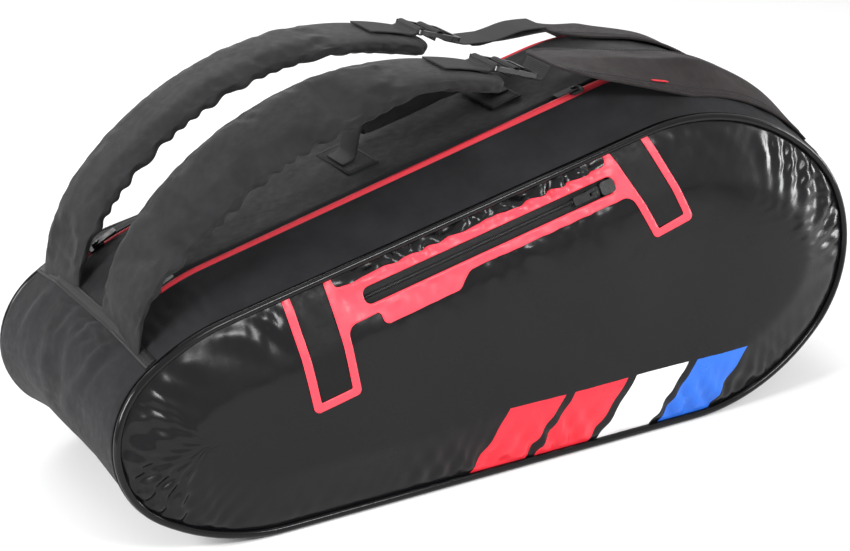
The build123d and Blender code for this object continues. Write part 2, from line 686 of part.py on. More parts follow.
def buckle_solid():
    """A ladder-lock buckle: two rails and three bars, the first round for the tab's loop."""
    half_w = BUCKLE_WIDTH / 2
    frame = block(-BUCKLE_BAR, BUCKLE_LENGTH, -half_w, half_w, -BUCKLE_THICKNESS / 2, BUCKLE_THICKNESS / 2)
    frame = fillet(frame.edges().filter_by(Axis.Z), BUCKLE_RAIL)
    inner = half_w - BUCKLE_RAIL
    frame -= block(-2 * BUCKLE_BAR, BUCKLE_LENGTH - BUCKLE_BAR, -inner, inner, -BUCKLE_THICKNESS, BUCKLE_THICKNESS)
    bar = Rot(90, 0, 0) * Cylinder(BUCKLE_BAR / 2, BUCKLE_WIDTH - BUCKLE_RAIL)
    middle = BUCKLE_LENGTH / 2
    frame += block(middle - BUCKLE_BAR / 2, middle + BUCKLE_BAR / 2, -inner - 1, inner + 1,
                   -BUCKLE_THICKNESS / 2, BUCKLE_THICKNESS / 2)
    return frame + bar


def tab_solid(y):
    """The tab sewn on the pad's end, with a loop round the buckle's bar."""
    plane = buckle_plane(y)
    back = degrees((BUCKLE_BACKSET + TAB_LENGTH) / PAD_RADII[1])
    seat = degrees((BUCKLE_BACKSET + 10) / PAD_RADII[1])
    second = strap_centres()[1]
    stop = PAD_HEADINGS[2]
    low, high = CLEARANCE, CLEARANCE + TAB_THICKNESS
    a0, a1 = stop + back + 90, stop + seat + 90
    sole = closed([
        arc(second, PAD_RADII[1] + high, a0, a1),
        Line(polar(second, PAD_RADII[1] + high, a1), polar(second, PAD_RADII[1] + low, a1)),
        arc(second, PAD_RADII[1] + low, a1, a0),
        Line(polar(second, PAD_RADII[1] + low, a0), polar(second, PAD_RADII[1] + high, a0)),
    ])
    sole = from_front(sole, y - TAB_WIDTH / 2, y + TAB_WIDTH / 2)
    ring_out = BUCKLE_BAR / 2 + CLEARANCE + TAB_THICKNESS
    ring = Rot(90, 0, 0) * Cylinder(ring_out, TAB_WIDTH)
    lead_from = polar(second, PAD_RADII[1] + (low + high) / 2, a1 + 0.4)
    origin = plane.origin
    tangent = (origin.X - lead_from[0], origin.Z - lead_from[1])
    reach, angle = hypot(*tangent), degrees(atan2(tangent[1], tangent[0]))
    lead = Pos(*lead_from) * Rot(0, 0, angle) * (Pos(reach / 2, 0) * Rectangle(reach, TAB_THICKNESS))
    lead = from_front(lead, y - TAB_WIDTH / 2, y + TAB_WIDTH / 2)
    hole = Rot(90, 0, 0) * Cylinder(BUCKLE_BAR / 2 + CLEARANCE, 2 * TAB_WIDTH)
    return sole + lead + on_plane(plane, ring) - on_plane(plane, hole)


def strap_parts():
    """Two straps: sewn root, pad cover and foam, tab, buckle, webbing and wing."""
    parts = {}
    axis = strap_axis()
    heel_cut = (HEEL_CUT_X, 0, strap_axis_height(HEEL_CUT_X))
    head_cut = (HEAD_CUT_X, 0, strap_axis_height(HEAD_CUT_X))
    stop = PAD_HEADINGS[2]
    body = hull(OVER_BINDING)
    half = PAD_WIDTH / 2
    after_heel = half_space(shifted(heel_cut, axis, CLEARANCE / 2), axis)
    before_heel = half_space(shifted(heel_cut, axis, -CLEARANCE / 2), -axis)
    after_head = half_space(shifted(head_cut, axis, CLEARANCE / 2), axis)
    before_head = half_space(shifted(head_cut, axis, -CLEARANCE / 2), -axis)
    for side, name in ((-1, "front"), (1, "back")):
        y = side * STRAP_Y
        whole = from_front(pad_face(0, -PAD_THICKNESS, stop), y - half, y + half)
        whole = fillet(pad_tip_edges(whole), PAD_END_RADIUS)
        parts[f"{name}_strap_root"] = (whole & before_heel) - body
        free = whole & after_heel
        core = from_front(pad_face(-PAD_COVER, PAD_COVER - PAD_THICKNESS, stop + 1), y - half + PAD_COVER,
                          y + half - PAD_COVER)
        core = fillet(pad_tip_edges(core), PAD_END_RADIUS)
        core &= half_space(shifted(heel_cut, axis, 4 * CLEARANCE), axis)
        parts[f"{name}_strap_pad"] = free - core
        parts[f"{name}_strap_foam"] = core
        plane = buckle_plane(y)
        parts[f"{name}_buckle_tab"] = tab_solid(y)
        parts[f"{name}_buckle"] = on_plane(plane, buckle_solid())
        parts.update(webbing_parts(name, y, plane, before_head))
        tip_x = HEAD_CUT_X - FRONT_WING_REACH if side < 0 else HEAD_CUT_X
        wing = wing_solid(side, tip_x)
        parts[f"{name}_wing_root"] = wing & after_head
        if side < 0:
            parts["front_wing_flap"] = wing & before_head
    return parts


def webbing_parts(name, y, plane, before_head):
    """The webbing over the buckle's middle bar, and its run to the wing."""
    half = BUCKLE_BAR / 2
    middle = BUCKLE_LENGTH / 2
    up, down = BUCKLE_THICKNESS / 2 + CLEARANCE, -BUCKLE_THICKNESS / 2 - 2 * CLEARANCE - STRAP_WEB
    side = half + 2 * CLEARANCE
    end = BUCKLE_LENGTH + 4
    points = [(middle - side - STRAP_WEB, down), (middle - side - STRAP_WEB, up + STRAP_WEB),
              (middle + side + STRAP_WEB, up + STRAP_WEB), (middle + side + STRAP_WEB, down + STRAP_WEB),
              (end, down + STRAP_WEB)]
    loop = side_extrude(plane, ribbon(points, -STRAP_WEB), STRAP_WEB_WIDTH)
    parts = {f"{name}_webbing_loop": loop}
    leads = [plane.location * Location((end + ahead, 0, down)) for ahead in (CLEARANCE, CLEARANCE + RUN_LEAD)]
    target_x = HEAD_CUT_X - FRONT_WING_REACH if name == "front" else HEAD_CUT_X
    target_z = wing_height(target_x, OVER_BINDING + (WING_THICKNESS - STRAP_WEB) / 2)
    points = [(lead.position.X, lead.position.Z) for lead in leads] + [(target_x - 2 * CLEARANCE, target_z)]
    run = ribbon(points, STRAP_WEB)
    parts[f"{name}_webbing"] = from_front(run, y - STRAP_WEB_WIDTH / 2, y + STRAP_WEB_WIDTH / 2) & before_head
    return parts


def strap_ends():
    """The two sewn ends that each strap swings between, in the side view."""
    head = RIM["head"]
    return PAD_ROOT, polar(head["end"], head["end_radius"], HEAD_SEAM_ANGLE)


def strap_axis():
    """Direction of the line between the strap's sewn ends."""
    (x0, z0), (x1, z1) = strap_ends()
    return Vector(x1 - x0, 0, z1 - z0).normalized()


def strap_axis_height(x):
    (x0, z0), (x1, z1) = strap_ends()
    return z0 + (x - x0) * (z1 - z0) / (x1 - x0)


def shifted(point, direction, distance):
    return Vector(*point) + direction * distance


def export(parts):
    """One STEP file per node."""
    for name, shape in parts.items():
        solids = shape.solids()
        whole = solids[0] if len(solids) == 1 else Compound(list(solids))
        whole.label = name
        export_step(whole, f"parts/{name}.step")


for group in (gusset_parts, panel_parts, inside_parts, main_zip_parts, pocket_parts, handle_parts, strap_parts):
    export(group())
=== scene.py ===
# %% [markdown]
# # A racket bag, dressed
#
# The solid model of the bag comes in as a fixed frame: its shell, zips, straps and buckles already
# have their places and sizes.  This lesson lays fabric over that frame, piece by piece, and gives
# every surface a finish.  Sizes are in millimetres until a mesh is made.

import json
import math

import bmesh
import bpy
import numpy as np
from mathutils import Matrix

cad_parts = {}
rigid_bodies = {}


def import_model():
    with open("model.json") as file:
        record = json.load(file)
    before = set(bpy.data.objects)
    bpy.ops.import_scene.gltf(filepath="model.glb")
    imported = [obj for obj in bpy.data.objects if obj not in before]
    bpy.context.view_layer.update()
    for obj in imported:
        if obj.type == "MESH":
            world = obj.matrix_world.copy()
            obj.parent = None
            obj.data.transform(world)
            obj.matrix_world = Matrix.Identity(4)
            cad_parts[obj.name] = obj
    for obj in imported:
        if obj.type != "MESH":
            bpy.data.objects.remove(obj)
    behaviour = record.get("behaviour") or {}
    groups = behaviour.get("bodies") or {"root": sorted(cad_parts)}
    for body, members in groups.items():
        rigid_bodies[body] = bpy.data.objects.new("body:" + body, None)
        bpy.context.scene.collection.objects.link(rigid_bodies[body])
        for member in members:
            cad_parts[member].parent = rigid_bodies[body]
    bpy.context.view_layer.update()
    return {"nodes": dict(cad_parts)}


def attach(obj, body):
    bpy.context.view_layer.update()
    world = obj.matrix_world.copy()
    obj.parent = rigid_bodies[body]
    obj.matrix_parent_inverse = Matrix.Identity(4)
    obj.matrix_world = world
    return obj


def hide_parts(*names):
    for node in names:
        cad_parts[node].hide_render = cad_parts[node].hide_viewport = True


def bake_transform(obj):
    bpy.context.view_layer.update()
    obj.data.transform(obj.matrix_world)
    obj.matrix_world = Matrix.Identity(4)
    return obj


for leftover in list(bpy.data.objects):
    bpy.data.objects.remove(leftover)
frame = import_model()
MM = 0.001

# %% [markdown]
# ## The bag's side outline
#
# Seen from the side the bag is eight joined edges: a flat bottom, an arc and a tighter arc round
# each end, and a sloping top.  The same outline, risen a little, runs along the two zips.  A point
# is named by a number u from 0 to 8: its whole part picks the edge and the rest says how far along
# it.  One numbering for both outlines lets straight lines join them, which is how the wall is made.

# %% Outline sizes and edges
LENGTH, LEAN, BASE_DEPTH, ZIP_LINE = 760.0, math.radians(6.0), 288.0, 62.0
ENDS = {"heel": (-1, 204.0, 26.0, 80.0, 200.0), "head": (1, 292.0, 34.0, 120.0, 215.0)}
PANEL_INSET = 7.25


def polar(centre, radius, angle):
    """Points on a circle: centre plus radius times the cosine and sine of the angle in degrees."""
    angle = np.radians(angle)
    return np.stack([centre[0] + radius * np.cos(angle), centre[1] + radius * np.sin(angle)], -1)


def run_lengths(points):
    """Running distance along a line of points: the sum of the steps so far."""
    return np.concatenate([[0.0], np.cumsum(np.linalg.norm(np.diff(points, axis=0), axis=-1))])


def at_places(line, along, places):
    """Points at given running distances, each coordinate read off between its neighbours."""
    return np.stack([np.interp(places, along, line[:, k]) for k in range(line.shape[1])], -1)


def unit(vectors):
    """The same directions, each divided by its own length."""
    return vectors / np.linalg.norm(vectors, axis=-1, keepdims=True)


def side_shape(risen):
    """Arc centres, radii and joining angles: each end's arcs touch where their centres are in line."""
    shape = {}
    for name, (sign, height, rise, end_radius, radius) in ENDS.items():
        top = height + (rise if risen else 0.0)
        drop = radius - top / 2
        reach = math.sqrt((radius - end_radius) ** 2 - drop**2)
        end_x = sign * (LENGTH / 2 - end_radius)
        shape[name] = {"end": (end_x, top / 2), "end_radius": end_radius, "radius": radius,
                       "low": (end_x - sign * reach, radius), "high": (end_x - sign * reach, top - radius),
                       "join": math.degrees(math.atan2(drop, sign * reach))}
    heel, head = shape["heel"], shape["head"]
    run, climb = head["high"][0] - heel["high"][0], head["high"][1] - heel["high"][1]
    gap = math.asin((heel["radius"] - head["radius"]) / math.hypot(run, climb))
    shape["slope"] = math.degrees(math.atan2(climb, run) - gap)
    return shape


RIM, RIDGE = side_shape(False), side_shape(True)


def outline(shape, grow, u):
    """Outline points for the numbers u: straight edges blend two corners, arcs sweep an angle."""
    heel, head = shape["heel"], shape["head"]
    up = 90 + shape["slope"]
    u = np.mod(np.asarray(u, float), 8.0)
    edge, share = np.floor(u).astype(int), u % 1.0
    arcs = {1: (head, "low", -90, -head["join"]), 2: (head, "end", -head["join"], head["join"]),
            3: (head, "high", head["join"], up), 5: (heel, "high", up, heel["join"]),
            6: (heel, "end", heel["join"], 360 - heel["join"]), 7: (heel, "low", 360 - heel["join"], 270)}
    lines = {0: ((heel, "low", -90), (head, "low", -90)), 4: ((head, "high", up), (heel, "high", up))}
    points = np.zeros(u.shape + (2,))
    for number, (end, part, start, stop) in arcs.items():
        here = edge == number
        radius = end["end_radius" if part == "end" else "radius"] + grow
        points[here] = polar(end[part], radius, start + share[here] * (stop - start))
    for number, corners in lines.items():
        here = edge == number
        a, b = (polar(end[part], end["radius"] + grow, angle) for end, part, angle in corners)
        points[here] = a + share[here][:, None] * (b - a)
    return points


def even_u(count):
    """Numbers u whose points lie at equal distances along the lower outline."""
    dense = np.linspace(0.0, 8.0, 4001)
    along = run_lengths(outline(RIM, 0.0, dense))
    return np.interp(np.linspace(0, along[-1], count), along, dense)


RIM_LENGTH = float(run_lengths(outline(RIM, 0.0, np.linspace(0, 8, 4001)))[-1])
print("outline length", round(RIM_LENGTH), "mm, top slope", round(RIM["slope"], 1), "degrees")

# %% [markdown]
# ## From arrays to meshes
#
# Every new piece is a grid of points worked out by numpy.  One helper turns such a grid into faces,
# closes it round on itself where asked, and stores how far each point is along the cloth in a UV
# map, so that a weave can follow the surface wherever it bends.

# %% Grid helper
def lengths_along(points, axis):
    """Running distance along one axis of a grid, averaged over the other."""
    steps = np.linalg.norm(np.diff(points, axis=axis), axis=-1).mean(axis=1 - axis)
    return np.concatenate([[0.0], np.cumsum(steps)])


def add_mesh(name, vertices, faces, uv=None):
    """A mesh object from arrays in millimetres; uv has one pair per face corner, in millimetres."""
    mesh = bpy.data.meshes.new(name)
    corners = faces if isinstance(faces, list) else faces.tolist()
    mesh.from_pydata(np.asarray(vertices, float) * MM, [], corners)
    if uv is not None:
        layer = mesh.uv_layers.new(name="cloth")
        layer.data.foreach_set("uv", (np.asarray(uv, np.float32) * MM).ravel())
    mesh.validate()
    mesh.shade_smooth()
    piece = bpy.data.objects.new(name, mesh)
    bpy.context.scene.collection.objects.link(piece)
    return piece


def grid(name, points, round_columns=False, flip=False, poles=False):
    """Quads between neighbouring grid points; the last column may join the first."""
    rows, columns = points.shape[:2]
    closed = np.concatenate([points, points[:, :1]], 1) if round_columns else points
    s, t = lengths_along(closed, 0), lengths_along(closed, 1)
    i, j = np.meshgrid(np.arange(closed.shape[0] - 1), np.arange(closed.shape[1] - 1), indexing="ij")
    i, j = i.ravel(), j.ravel()
    corners = [(i, j), (i, j + 1), (i + 1, j + 1), (i + 1, j)]
    if flip:
        corners.reverse()
    quads = np.stack([a * columns + b % columns for a, b in corners], -1)
    uv = np.stack([np.stack([s[a], t[b]], -1) for a, b in corners], 1).reshape(-1, 2)
    piece = add_mesh(name, points.reshape(-1, 3), quads, uv)
    if poles:
        edit_mesh(piece, lambda bm: fill_ends(bm, rows, columns))
    return piece


def edit_mesh(piece, change):
    """Opens a mesh for editing, calls the change on it and writes it back, smooth."""
    bm = bmesh.new()
    bm.from_mesh(piece.data)
    bm.verts.ensure_lookup_table()
    change(bm)
    bm.to_mesh(piece.data)
    bm.free()
    piece.data.shade_smooth()
    return piece


def fill_ends(bm, rows, columns):
    """Closes the first and last ring of a tube with one face each."""
    for first in (0, (rows - 1) * columns):
        bm.faces.new([bm.verts[first + k] for k in range(columns)])
    turn_outwards(bm)


def turn_outwards(bm):
    """Makes the faces of a closed mesh look outwards."""
    bmesh.ops.recalc_face_normals(bm, faces=bm.faces)


def grid_normals(points):
    """Unit normals of a grid: the cross product of its two directions."""
    across = np.cross(np.gradient(points, axis=0), np.gradient(points, axis=1))
    return across / np.maximum(np.linalg.norm(across, axis=-1, keepdims=True), 1e-9)


def thicken(piece, millimetres, offset=-1.0):
    """A wall of that thickness, on the inner side of the faces."""
    wall = piece.modifiers.new("wall", "SOLIDIFY")
    wall.thickness, wall.offset = millimetres * MM, offset
    return piece


print("direction check", unit(np.array([3.0, 4.0])))

# %% [markdown]
# ## Soft waves
#
# Cloth is never flat.  Wherever a surface should look sewn or stuffed, a sum of a few sine waves
# with different lengths is added.  The waves have fixed phases, so the bag is the same each time.
# Where a seam gathers cloth, one sine with an uneven pitch makes the row of puckers.

# %% Wave helpers
TURN = 2 * math.pi


def waves(a, b, scale, seed, count=7):
    """A sum of sines in turned directions with falling size: smooth noise about -1 to 1."""
    random = np.random.default_rng(seed)
    total, weight = 0.0, 0.0
    for number in range(count):
        turn, phase = random.uniform(0, TURN, 2)
        length = scale * random.uniform(0.6, 1.6)
        size = 1.0 / (1 + number * 0.35)
        place = a * math.cos(turn) + b * math.sin(turn)
        total = total + size * np.sin(TURN * place / length + phase)
        weight += size
    return total / weight * 1.9


def uneven_sine(place, pitch, swing, swing_pitch, shift=0.0, late=0.0):
    """A sine whose pitch stretches and shrinks, because a slower sine is added inside it."""
    return np.sin(TURN * place / pitch + swing * np.sin(TURN * place / swing_pitch + late) + shift)


def smooth_step(x, low, high):
    """0 below low, 1 above high, and an S curve between."""
    t = np.clip((x - low) / (high - low), 0, 1)
    return t * t * (3 - 2 * t)


print("wave sample", np.round(waves(np.array([0.0, 40.0]), np.array([0.0, 10.0]), 60, 1), 2))

# %% [markdown]
# ## The leaning side panels
#
# Each big side is a glossy coated sheet over foam.  It swells from the piping and is nearly flat in
# the middle, and the tight seam gathers it into short puckers.  Everything that lies on the panel
# uses one height function, so the trim and patches touch the sheet all over.

# %% Panel height
def panel_to_world(x, v, height, side=-1):
    """A point at x and v on the leaning plane, raised by height along the plane's outward normal."""
    y = side * (BASE_DEPTH / 2 - v * math.sin(LEAN) + height * math.cos(LEAN))
    return np.stack([x, y, v * math.cos(LEAN) + height * math.sin(LEAN)], -1)


RIM_U = even_u(2401)[:-1]
RIM_POINTS = outline(RIM, 0.0, RIM_U)


def rim_place(x, v):
    """Distance inwards from the panel's edge and distance along the rim, by the nearest rim point."""
    flat = np.stack([np.ravel(x), np.ravel(v)], -1)
    near, place = [], []
    for part in np.array_split(flat, max(1, len(flat) // 2000)):
        gaps = np.hypot(part[:, None, 0] - RIM_POINTS[None, :, 0],
                        part[:, None, 1] - RIM_POINTS[None, :, 1])
        near.append(gaps.min(1))
        place.append(gaps.argmin(1) * RIM_LENGTH / len(RIM_POINTS))
    return np.concatenate(near).reshape(np.shape(x)), np.concatenate(place).reshape(np.shape(x))


CROWN_AT = np.arange(-20.0, 120.0, 1.0)
plain_crown = np.interp(CROWN_AT, [-20, 0, 8, 52, 70], [-10, 0, 4, 16, 16.6])
bell = np.exp(-0.5 * (np.arange(-12, 13) / 4.0) ** 2)
CROWN = np.convolve(np.pad(plain_crown, 12, "edge"), bell / bell.sum(), "valid")

TOP_START = polar(RIM["heel"]["high"], RIM["heel"]["radius"], 90 + RIM["slope"])
TOP_ALONG = polar((0.0, 0.0), 1.0, RIM["slope"])
TOP_IN = np.array([TOP_ALONG[1], -TOP_ALONG[0]])
POCKET_MIDDLE, POCKET_INSET, POCKET_HALF, SLOT_HALF, RAIL = -26.0, 31.0, 131.0, 7.5, 8.5
RAIL_LEVEL = SLOT_HALF + RAIL
POCKET_ORIGIN = TOP_START + TOP_ALONG * (POCKET_MIDDLE - TOP_START[0]) / TOP_ALONG[0]
POCKET_ORIGIN = POCKET_ORIGIN + TOP_IN * POCKET_INSET
SEAM_PUCKER, SEAM_REACH, LOW_PUCKER, TOP_PUCKER, SOFT_WAVE = 2.7, 11.0, 1.3, 3.1, 0.9


def pocket_place(x, v):
    """Distances along and above the pocket zip's middle, in the panel's plane."""
    dx, dv = x - POCKET_ORIGIN[0], v - POCKET_ORIGIN[1]
    return dx * TOP_ALONG[0] + dv * TOP_ALONG[1], -(dx * TOP_IN[0] + dv * TOP_IN[1])


def from_pocket(a, b):
    """The panel place of a point given along and above the pocket zip."""
    return (POCKET_ORIGIN[0] + a * TOP_ALONG[0] - b * TOP_IN[0],
            POCKET_ORIGIN[1] + a * TOP_ALONG[1] - b * TOP_IN[1])


def panel_height(x, v, side=-1):
    """Crown from the piping inwards, plus seam puckers and long soft waves, calm at the pocket zip.

    A row of puckers is an uneven sine along the rim times the distance from the seam over a reach,
    times e to the power of one minus that share, so it rises at the seam and then dies away.
    """
    distance, along = rim_place(x, v)
    d = distance - PANEL_INSET
    crown = np.interp(d, CROWN_AT, CROWN)
    strength = np.clip(0.6 + 0.6 * waves(along, 0 * along, 260, 5 + side), 0.12, 1.25)
    ripple = uneven_sine(along, 31, 2.4, 137, TURN * 0.7 * d / 31)
    ripple += 0.4 * uneven_sine(along, 17.3, 1.9, 89, 1 - TURN * 0.5 * d / 17.3)
    reach = np.clip(d, 0, None) / SEAM_REACH
    pucker = SEAM_PUCKER * strength * ripple * reach * np.exp(1 - reach)
    wave = SOFT_WAVE * waves(x, v, 150, 11 + side) * smooth_step(d, 5, 60)
    if side > 0:
        return crown + pucker + wave
    a, b = pocket_place(x, v)
    near_frame = smooth_step(26.0 - np.minimum(np.abs(a + 177), np.abs(a - 158)), -8, 4)
    height = crown + pucker * (1 - 0.85 * near_frame * smooth_step(b, -75, -60)) + wave
    inside = smooth_step(POCKET_HALF + 8 - np.abs(a), 0, 12)
    gather = uneven_sine(a, 27, 2.0, 83, 0.05 * b)
    under = smooth_step(-b, RAIL_LEVEL, RAIL_LEVEL + 5) * np.exp((b + RAIL_LEVEL + 5) / 13)
    height += LOW_PUCKER * gather * np.clip(under, 0, 1) * inside * smooth_step(a, -60, 20)
    height += TOP_PUCKER * gather * smooth_step(b, RAIL_LEVEL + 1, RAIL_LEVEL + 5) * inside
    flat = smooth_step(POCKET_HALF + 14 - np.abs(a), 0, 10)
    flat = flat * smooth_step(SLOT_HALF + 5 - np.abs(b), 0, 4)
    return height * (1 - flat) + flat * crown


print("crown at the middle", round(float(CROWN.max()), 1), "mm")

# %% [markdown]
# ## The two side sheets
#
# Rings that copy the rim further and further in make the sheet, so its faces run along the seam and
# follow the puckers.  The last rings shrink to one point in the flat middle, and that point's copies
# are joined.

# %% Panel sheets
PANEL_MIDDLE = np.array([8.0, 124.0])


def panel_sheet(name, side, around=420):
    """Rings at growing inset from the rim, then rings that shrink to one point in the flat middle."""
    u = even_u(around + 1)[:-1]
    insets = np.concatenate([np.linspace(4.6, 12, 5), np.linspace(14, 72, 27)])
    rings = [outline(RIM, -inset, u) for inset in insets]
    last = rings[-1]
    rings += [last + (PANEL_MIDDLE - last) * share for share in np.linspace(0.04, 1.0, 25)]
    x, v = np.moveaxis(np.stack(rings), -1, 0)
    points = panel_to_world(x, v, panel_height(x, v, side), side)
    sheet = grid(name, points, round_columns=True, flip=side > 0)
    return edit_mesh(sheet, lambda bm: bmesh.ops.remove_doubles(bm, verts=bm.verts, dist=0.01 * MM))


front_cover = panel_sheet("front_cover", -1)
back_cover = panel_sheet("back_cover", 1)
print("panel sheets", len(front_cover.data.vertices), len(back_cover.data.vertices))

# %% [markdown]
# ## The wall between the panels
#
# The wall is fabric stretched between four outlines: the two piped rims and the two zip lines.  A
# number q from 0 to 3 says how far across a point lies.  Two sewn seams cut the wall into a lower
# gusset, which goes round the bottom, and the top strips, so each stretch gets its own range of u.

# %% Wall function
SEAMS = {"heel": 118.0, "head": 45.0}
SECTIONS = ((RIM, -1), (RIDGE, -1), (RIDGE, 1), (RIM, 1))


def section_points(number, u, grow):
    """One of the four outlines in space: the rims lean with the panels and the ridges stand upright."""
    shape, side = SECTIONS[number]
    flat = outline(shape, grow, u)
    if shape is RIM:
        return panel_to_world(flat[..., 0], flat[..., 1], -3.65, side)
    return np.stack([flat[..., 0], np.full(flat.shape[:-1], side * ZIP_LINE), flat[..., 1]], -1)


def seam_u(number, end):
    """The number u where an outline crosses a seam's slanted line, by looking along the outline."""
    shape = SECTIONS[number][0]
    u = np.linspace(2.0, 4.0, 4001) if end == "head" else np.linspace(5.0, 7.0, 4001)
    flat = outline(shape, 0.0, u) - np.array(RIM[end]["end"])
    angle = math.radians(SEAMS[end])
    side = flat[:, 0] * math.sin(angle) - flat[:, 1] * math.cos(angle)
    good = flat @ np.array([math.cos(angle), math.sin(angle)]) > 0
    return float(u[good][np.abs(side[good]).argmin()])


TOP_RANGE = [(seam_u(k, "head"), seam_u(k, "heel")) for k in range(4)]
LOW_RANGE = [(heel, head + 8.0) for head, heel in TOP_RANGE]


def wall(s, q, grow=0.0, low=False):
    """The wall at s from 0 to 1 between the seams and q from 0 to 3 across, straight in between."""
    s, q = np.broadcast_arrays(np.asarray(s, float), np.asarray(q, float))
    ranges = LOW_RANGE if low else TOP_RANGE
    corner = np.clip(np.floor(q).astype(int), 0, 2)[None, ..., None]
    curves = np.stack([section_points(k, start + s * (stop - start), grow)
                       for k, (start, stop) in enumerate(ranges)])
    first, second = (np.take_along_axis(curves, corner + step, 0)[0] for step in (0, 1))
    return first + (second - first) * (q[..., None] - corner[0])


def across_at(s, y, low=False):
    """The number q at which the wall has a given Y, for each s."""
    side = -1 if y < 0 else 1
    if abs(y) <= ZIP_LINE:
        return np.full(np.shape(s), 1.5 + y / (2 * ZIP_LINE))
    rim = wall(s, 0.0 if side < 0 else 3.0, 0.0, low)[..., 1]
    share = (y - side * ZIP_LINE) / (rim - side * ZIP_LINE)
    return 1.0 - share if side < 0 else 2.0 + share


print("top runs u", np.round(TOP_RANGE[0], 2), "to", np.round(TOP_RANGE[1], 2))

# %% [markdown]
# ## Gusset
#
# The gusset is one matte woven sheet round the heel, the bottom and the head.  It hangs in soft
# folds from the heel seam, under the strap roots.  Each fold is a bell-shaped ridge along a turned
# line, and the sheet never sinks below the floor.

# %% Gusset
def even_s(count, low=False):
    """Shares between the seams at equal distances along the wall's first ridge, and its length."""
    dense = np.linspace(0, 1, 2001)
    along = run_lengths(wall(dense, 1.0, 0, low))
    return np.interp(np.linspace(0, along[-1], count), along, dense), along[-1]


def faces_up(points):
    """Whether a grid's middle looks upwards as its rows and columns run."""
    return bool(grid_normals(points)[len(points) // 2, points.shape[1] // 2, 2] > 0)


def fold(a, b, centre, turn, length, width, depth):
    """One fold: a bell along a turned line, with a narrow ridge and a hollow beside it."""
    ca, cb = math.cos(math.radians(turn)), math.sin(math.radians(turn))
    along = (a - centre[0]) * ca + (b - centre[1]) * cb
    over = -(a - centre[0]) * cb + (b - centre[1]) * ca
    ridge, hollow = (np.exp(-((place / width) ** 2)) for place in (over, over - 1.7 * width))
    return depth * np.exp(-((along / length) ** 2)) * (ridge - 0.7 * hollow)


# Each fold: its centre along the wall and in Y, its turn in degrees, its length, width and depth.
FOLDS = (
    ((20, -26), 62, 17, 4, 2.2), ((24, -40), 84, 20, 5, 2.4), ((28, -56), 112, 19, 4, 2.0),
    ((34, -30), 20, 26, 5, 1.9), ((42, -66), 24, 24, 5, 2.0), ((48, -44), 50, 22, 5, 1.7),
    ((22, 14), 66, 18, 4, 1.9), ((30, 30), 100, 20, 5, 1.8), ((44, 6), 12, 28, 6, 1.6),
    ((60, -84), 15, 30, 6, 1.9), ((74, -18), -12, 40, 9, 1.5), ((84, -58), 22, 40, 8, 1.5),
    ((104, 24), -6, 46, 11, 1.5), ((60, 72), 8, 40, 8, 1.7), ((140, -30), 18, 50, 13, 1.5),
)


def gusset_sheet():
    """The lower wall with folds; s runs from the heel seam down, along the floor and up the head."""
    s, total = even_s(360, low=True)
    q = np.concatenate([np.linspace(0, 1, 27)[:-1], np.linspace(1, 2, 34)[:-1], np.linspace(2, 3, 27)])
    points = wall(s[:, None], q[None, :], 0.0, low=True)
    a = (s * total)[:, None] + 0 * q[None, :]
    b = points[..., 1]
    height = 1.3 * waves(a, b, 150, 3) + 0.5 * waves(a, b, 45, 4)
    for numbers in FOLDS:
        height += fold(a, b, *numbers)
    rim = np.minimum(q, 3 - q)[None, :]
    height *= smooth_step(rim, 0.0, 0.12) * smooth_step(a, 0, 12) * smooth_step(total - a, 0, 12)
    points = points + grid_normals(points) * height[..., None] * GUSSET_SIGN
    points[..., 2] = np.maximum(points[..., 2], 0.05)
    return grid("gusset_cover", points)


middle_s, middle_q = np.linspace(0, 1, 50)[:, None], np.linspace(1.2, 1.8, 9)[None, :]
GUSSET_SIGN = -1.0 if faces_up(wall(middle_s, middle_q, 0, low=True)) else 1.0
gusset_cover = gusset_sheet()
print("gusset points", len(gusset_cover.data.vertices))

# %% [markdown]
# ## Top strips
#
# The strips start at a rim or at a zip, so each one is cut from the wall between two Y values.  The
# cloth is turned down at a zip, and its soft waves fade out before every seam.

# %% Top strips
ZIP_EDGE, ZIP_INNER_EDGE = 3.8, 3.0


def top_strip(name, y0, y1, seed):
    """A strip between two Y values, or from a rim where y is None; zip edges turn down into the slot."""
    s, total = even_s(300)
    q0 = across_at(s, y0) if y0 is not None else np.zeros(len(s))
    q1 = across_at(s, y1) if y1 is not None else np.full(len(s), 3.0)
    share = np.concatenate([[0.0, 0.004, 0.012, 0.025, 0.05], np.linspace(0.08, 0.92, 30),
                            [0.95, 0.975, 0.988, 0.996, 1.0]])
    q = q0[:, None] + (q1 - q0)[:, None] * share[None, :]
    points = wall(s[:, None], q)
    a = (s * total)[:, None] + 0 * share[None, :]
    height = 1.5 * waves(a, points[..., 1], 120, seed) + 0.6 * waves(a, points[..., 1], 40, seed + 1)
    calm = smooth_step(np.minimum(share, 1 - share), 0.02, 0.3)[None, :]
    height = height * calm * smooth_step(np.minimum(a, total - a), 0, 15) - 0.25 * calm
    for edge, y in ((share, y0), (1 - share, y1)):
        if y is not None:
            height -= 2.6 * (1 - smooth_step(edge, 0.0, 0.03))[None, :]
    even_share = np.linspace(0.001, 0.999, len(share))[None, :]
    normal = grid_normals(wall(s[:, None], q0[:, None] + even_share * (q1 - q0)[:, None]))
    normal *= np.sign(normal[..., 2:3].mean())
    return grid(name, points + normal * height[..., None], flip=TOP_FLIP)


TOP_FLIP = faces_up(wall(middle_s, middle_q))
top_front = top_strip("top_front", None, -ZIP_LINE - ZIP_EDGE, 21)
top_middle = top_strip("top_middle", ZIP_INNER_EDGE - ZIP_LINE, ZIP_LINE - ZIP_INNER_EDGE, 31)
top_back = top_strip("top_back", ZIP_LINE + ZIP_EDGE, None, 41)
print("strip points", [len(piece.data.vertices) for piece in (top_front, top_middle, top_back)])

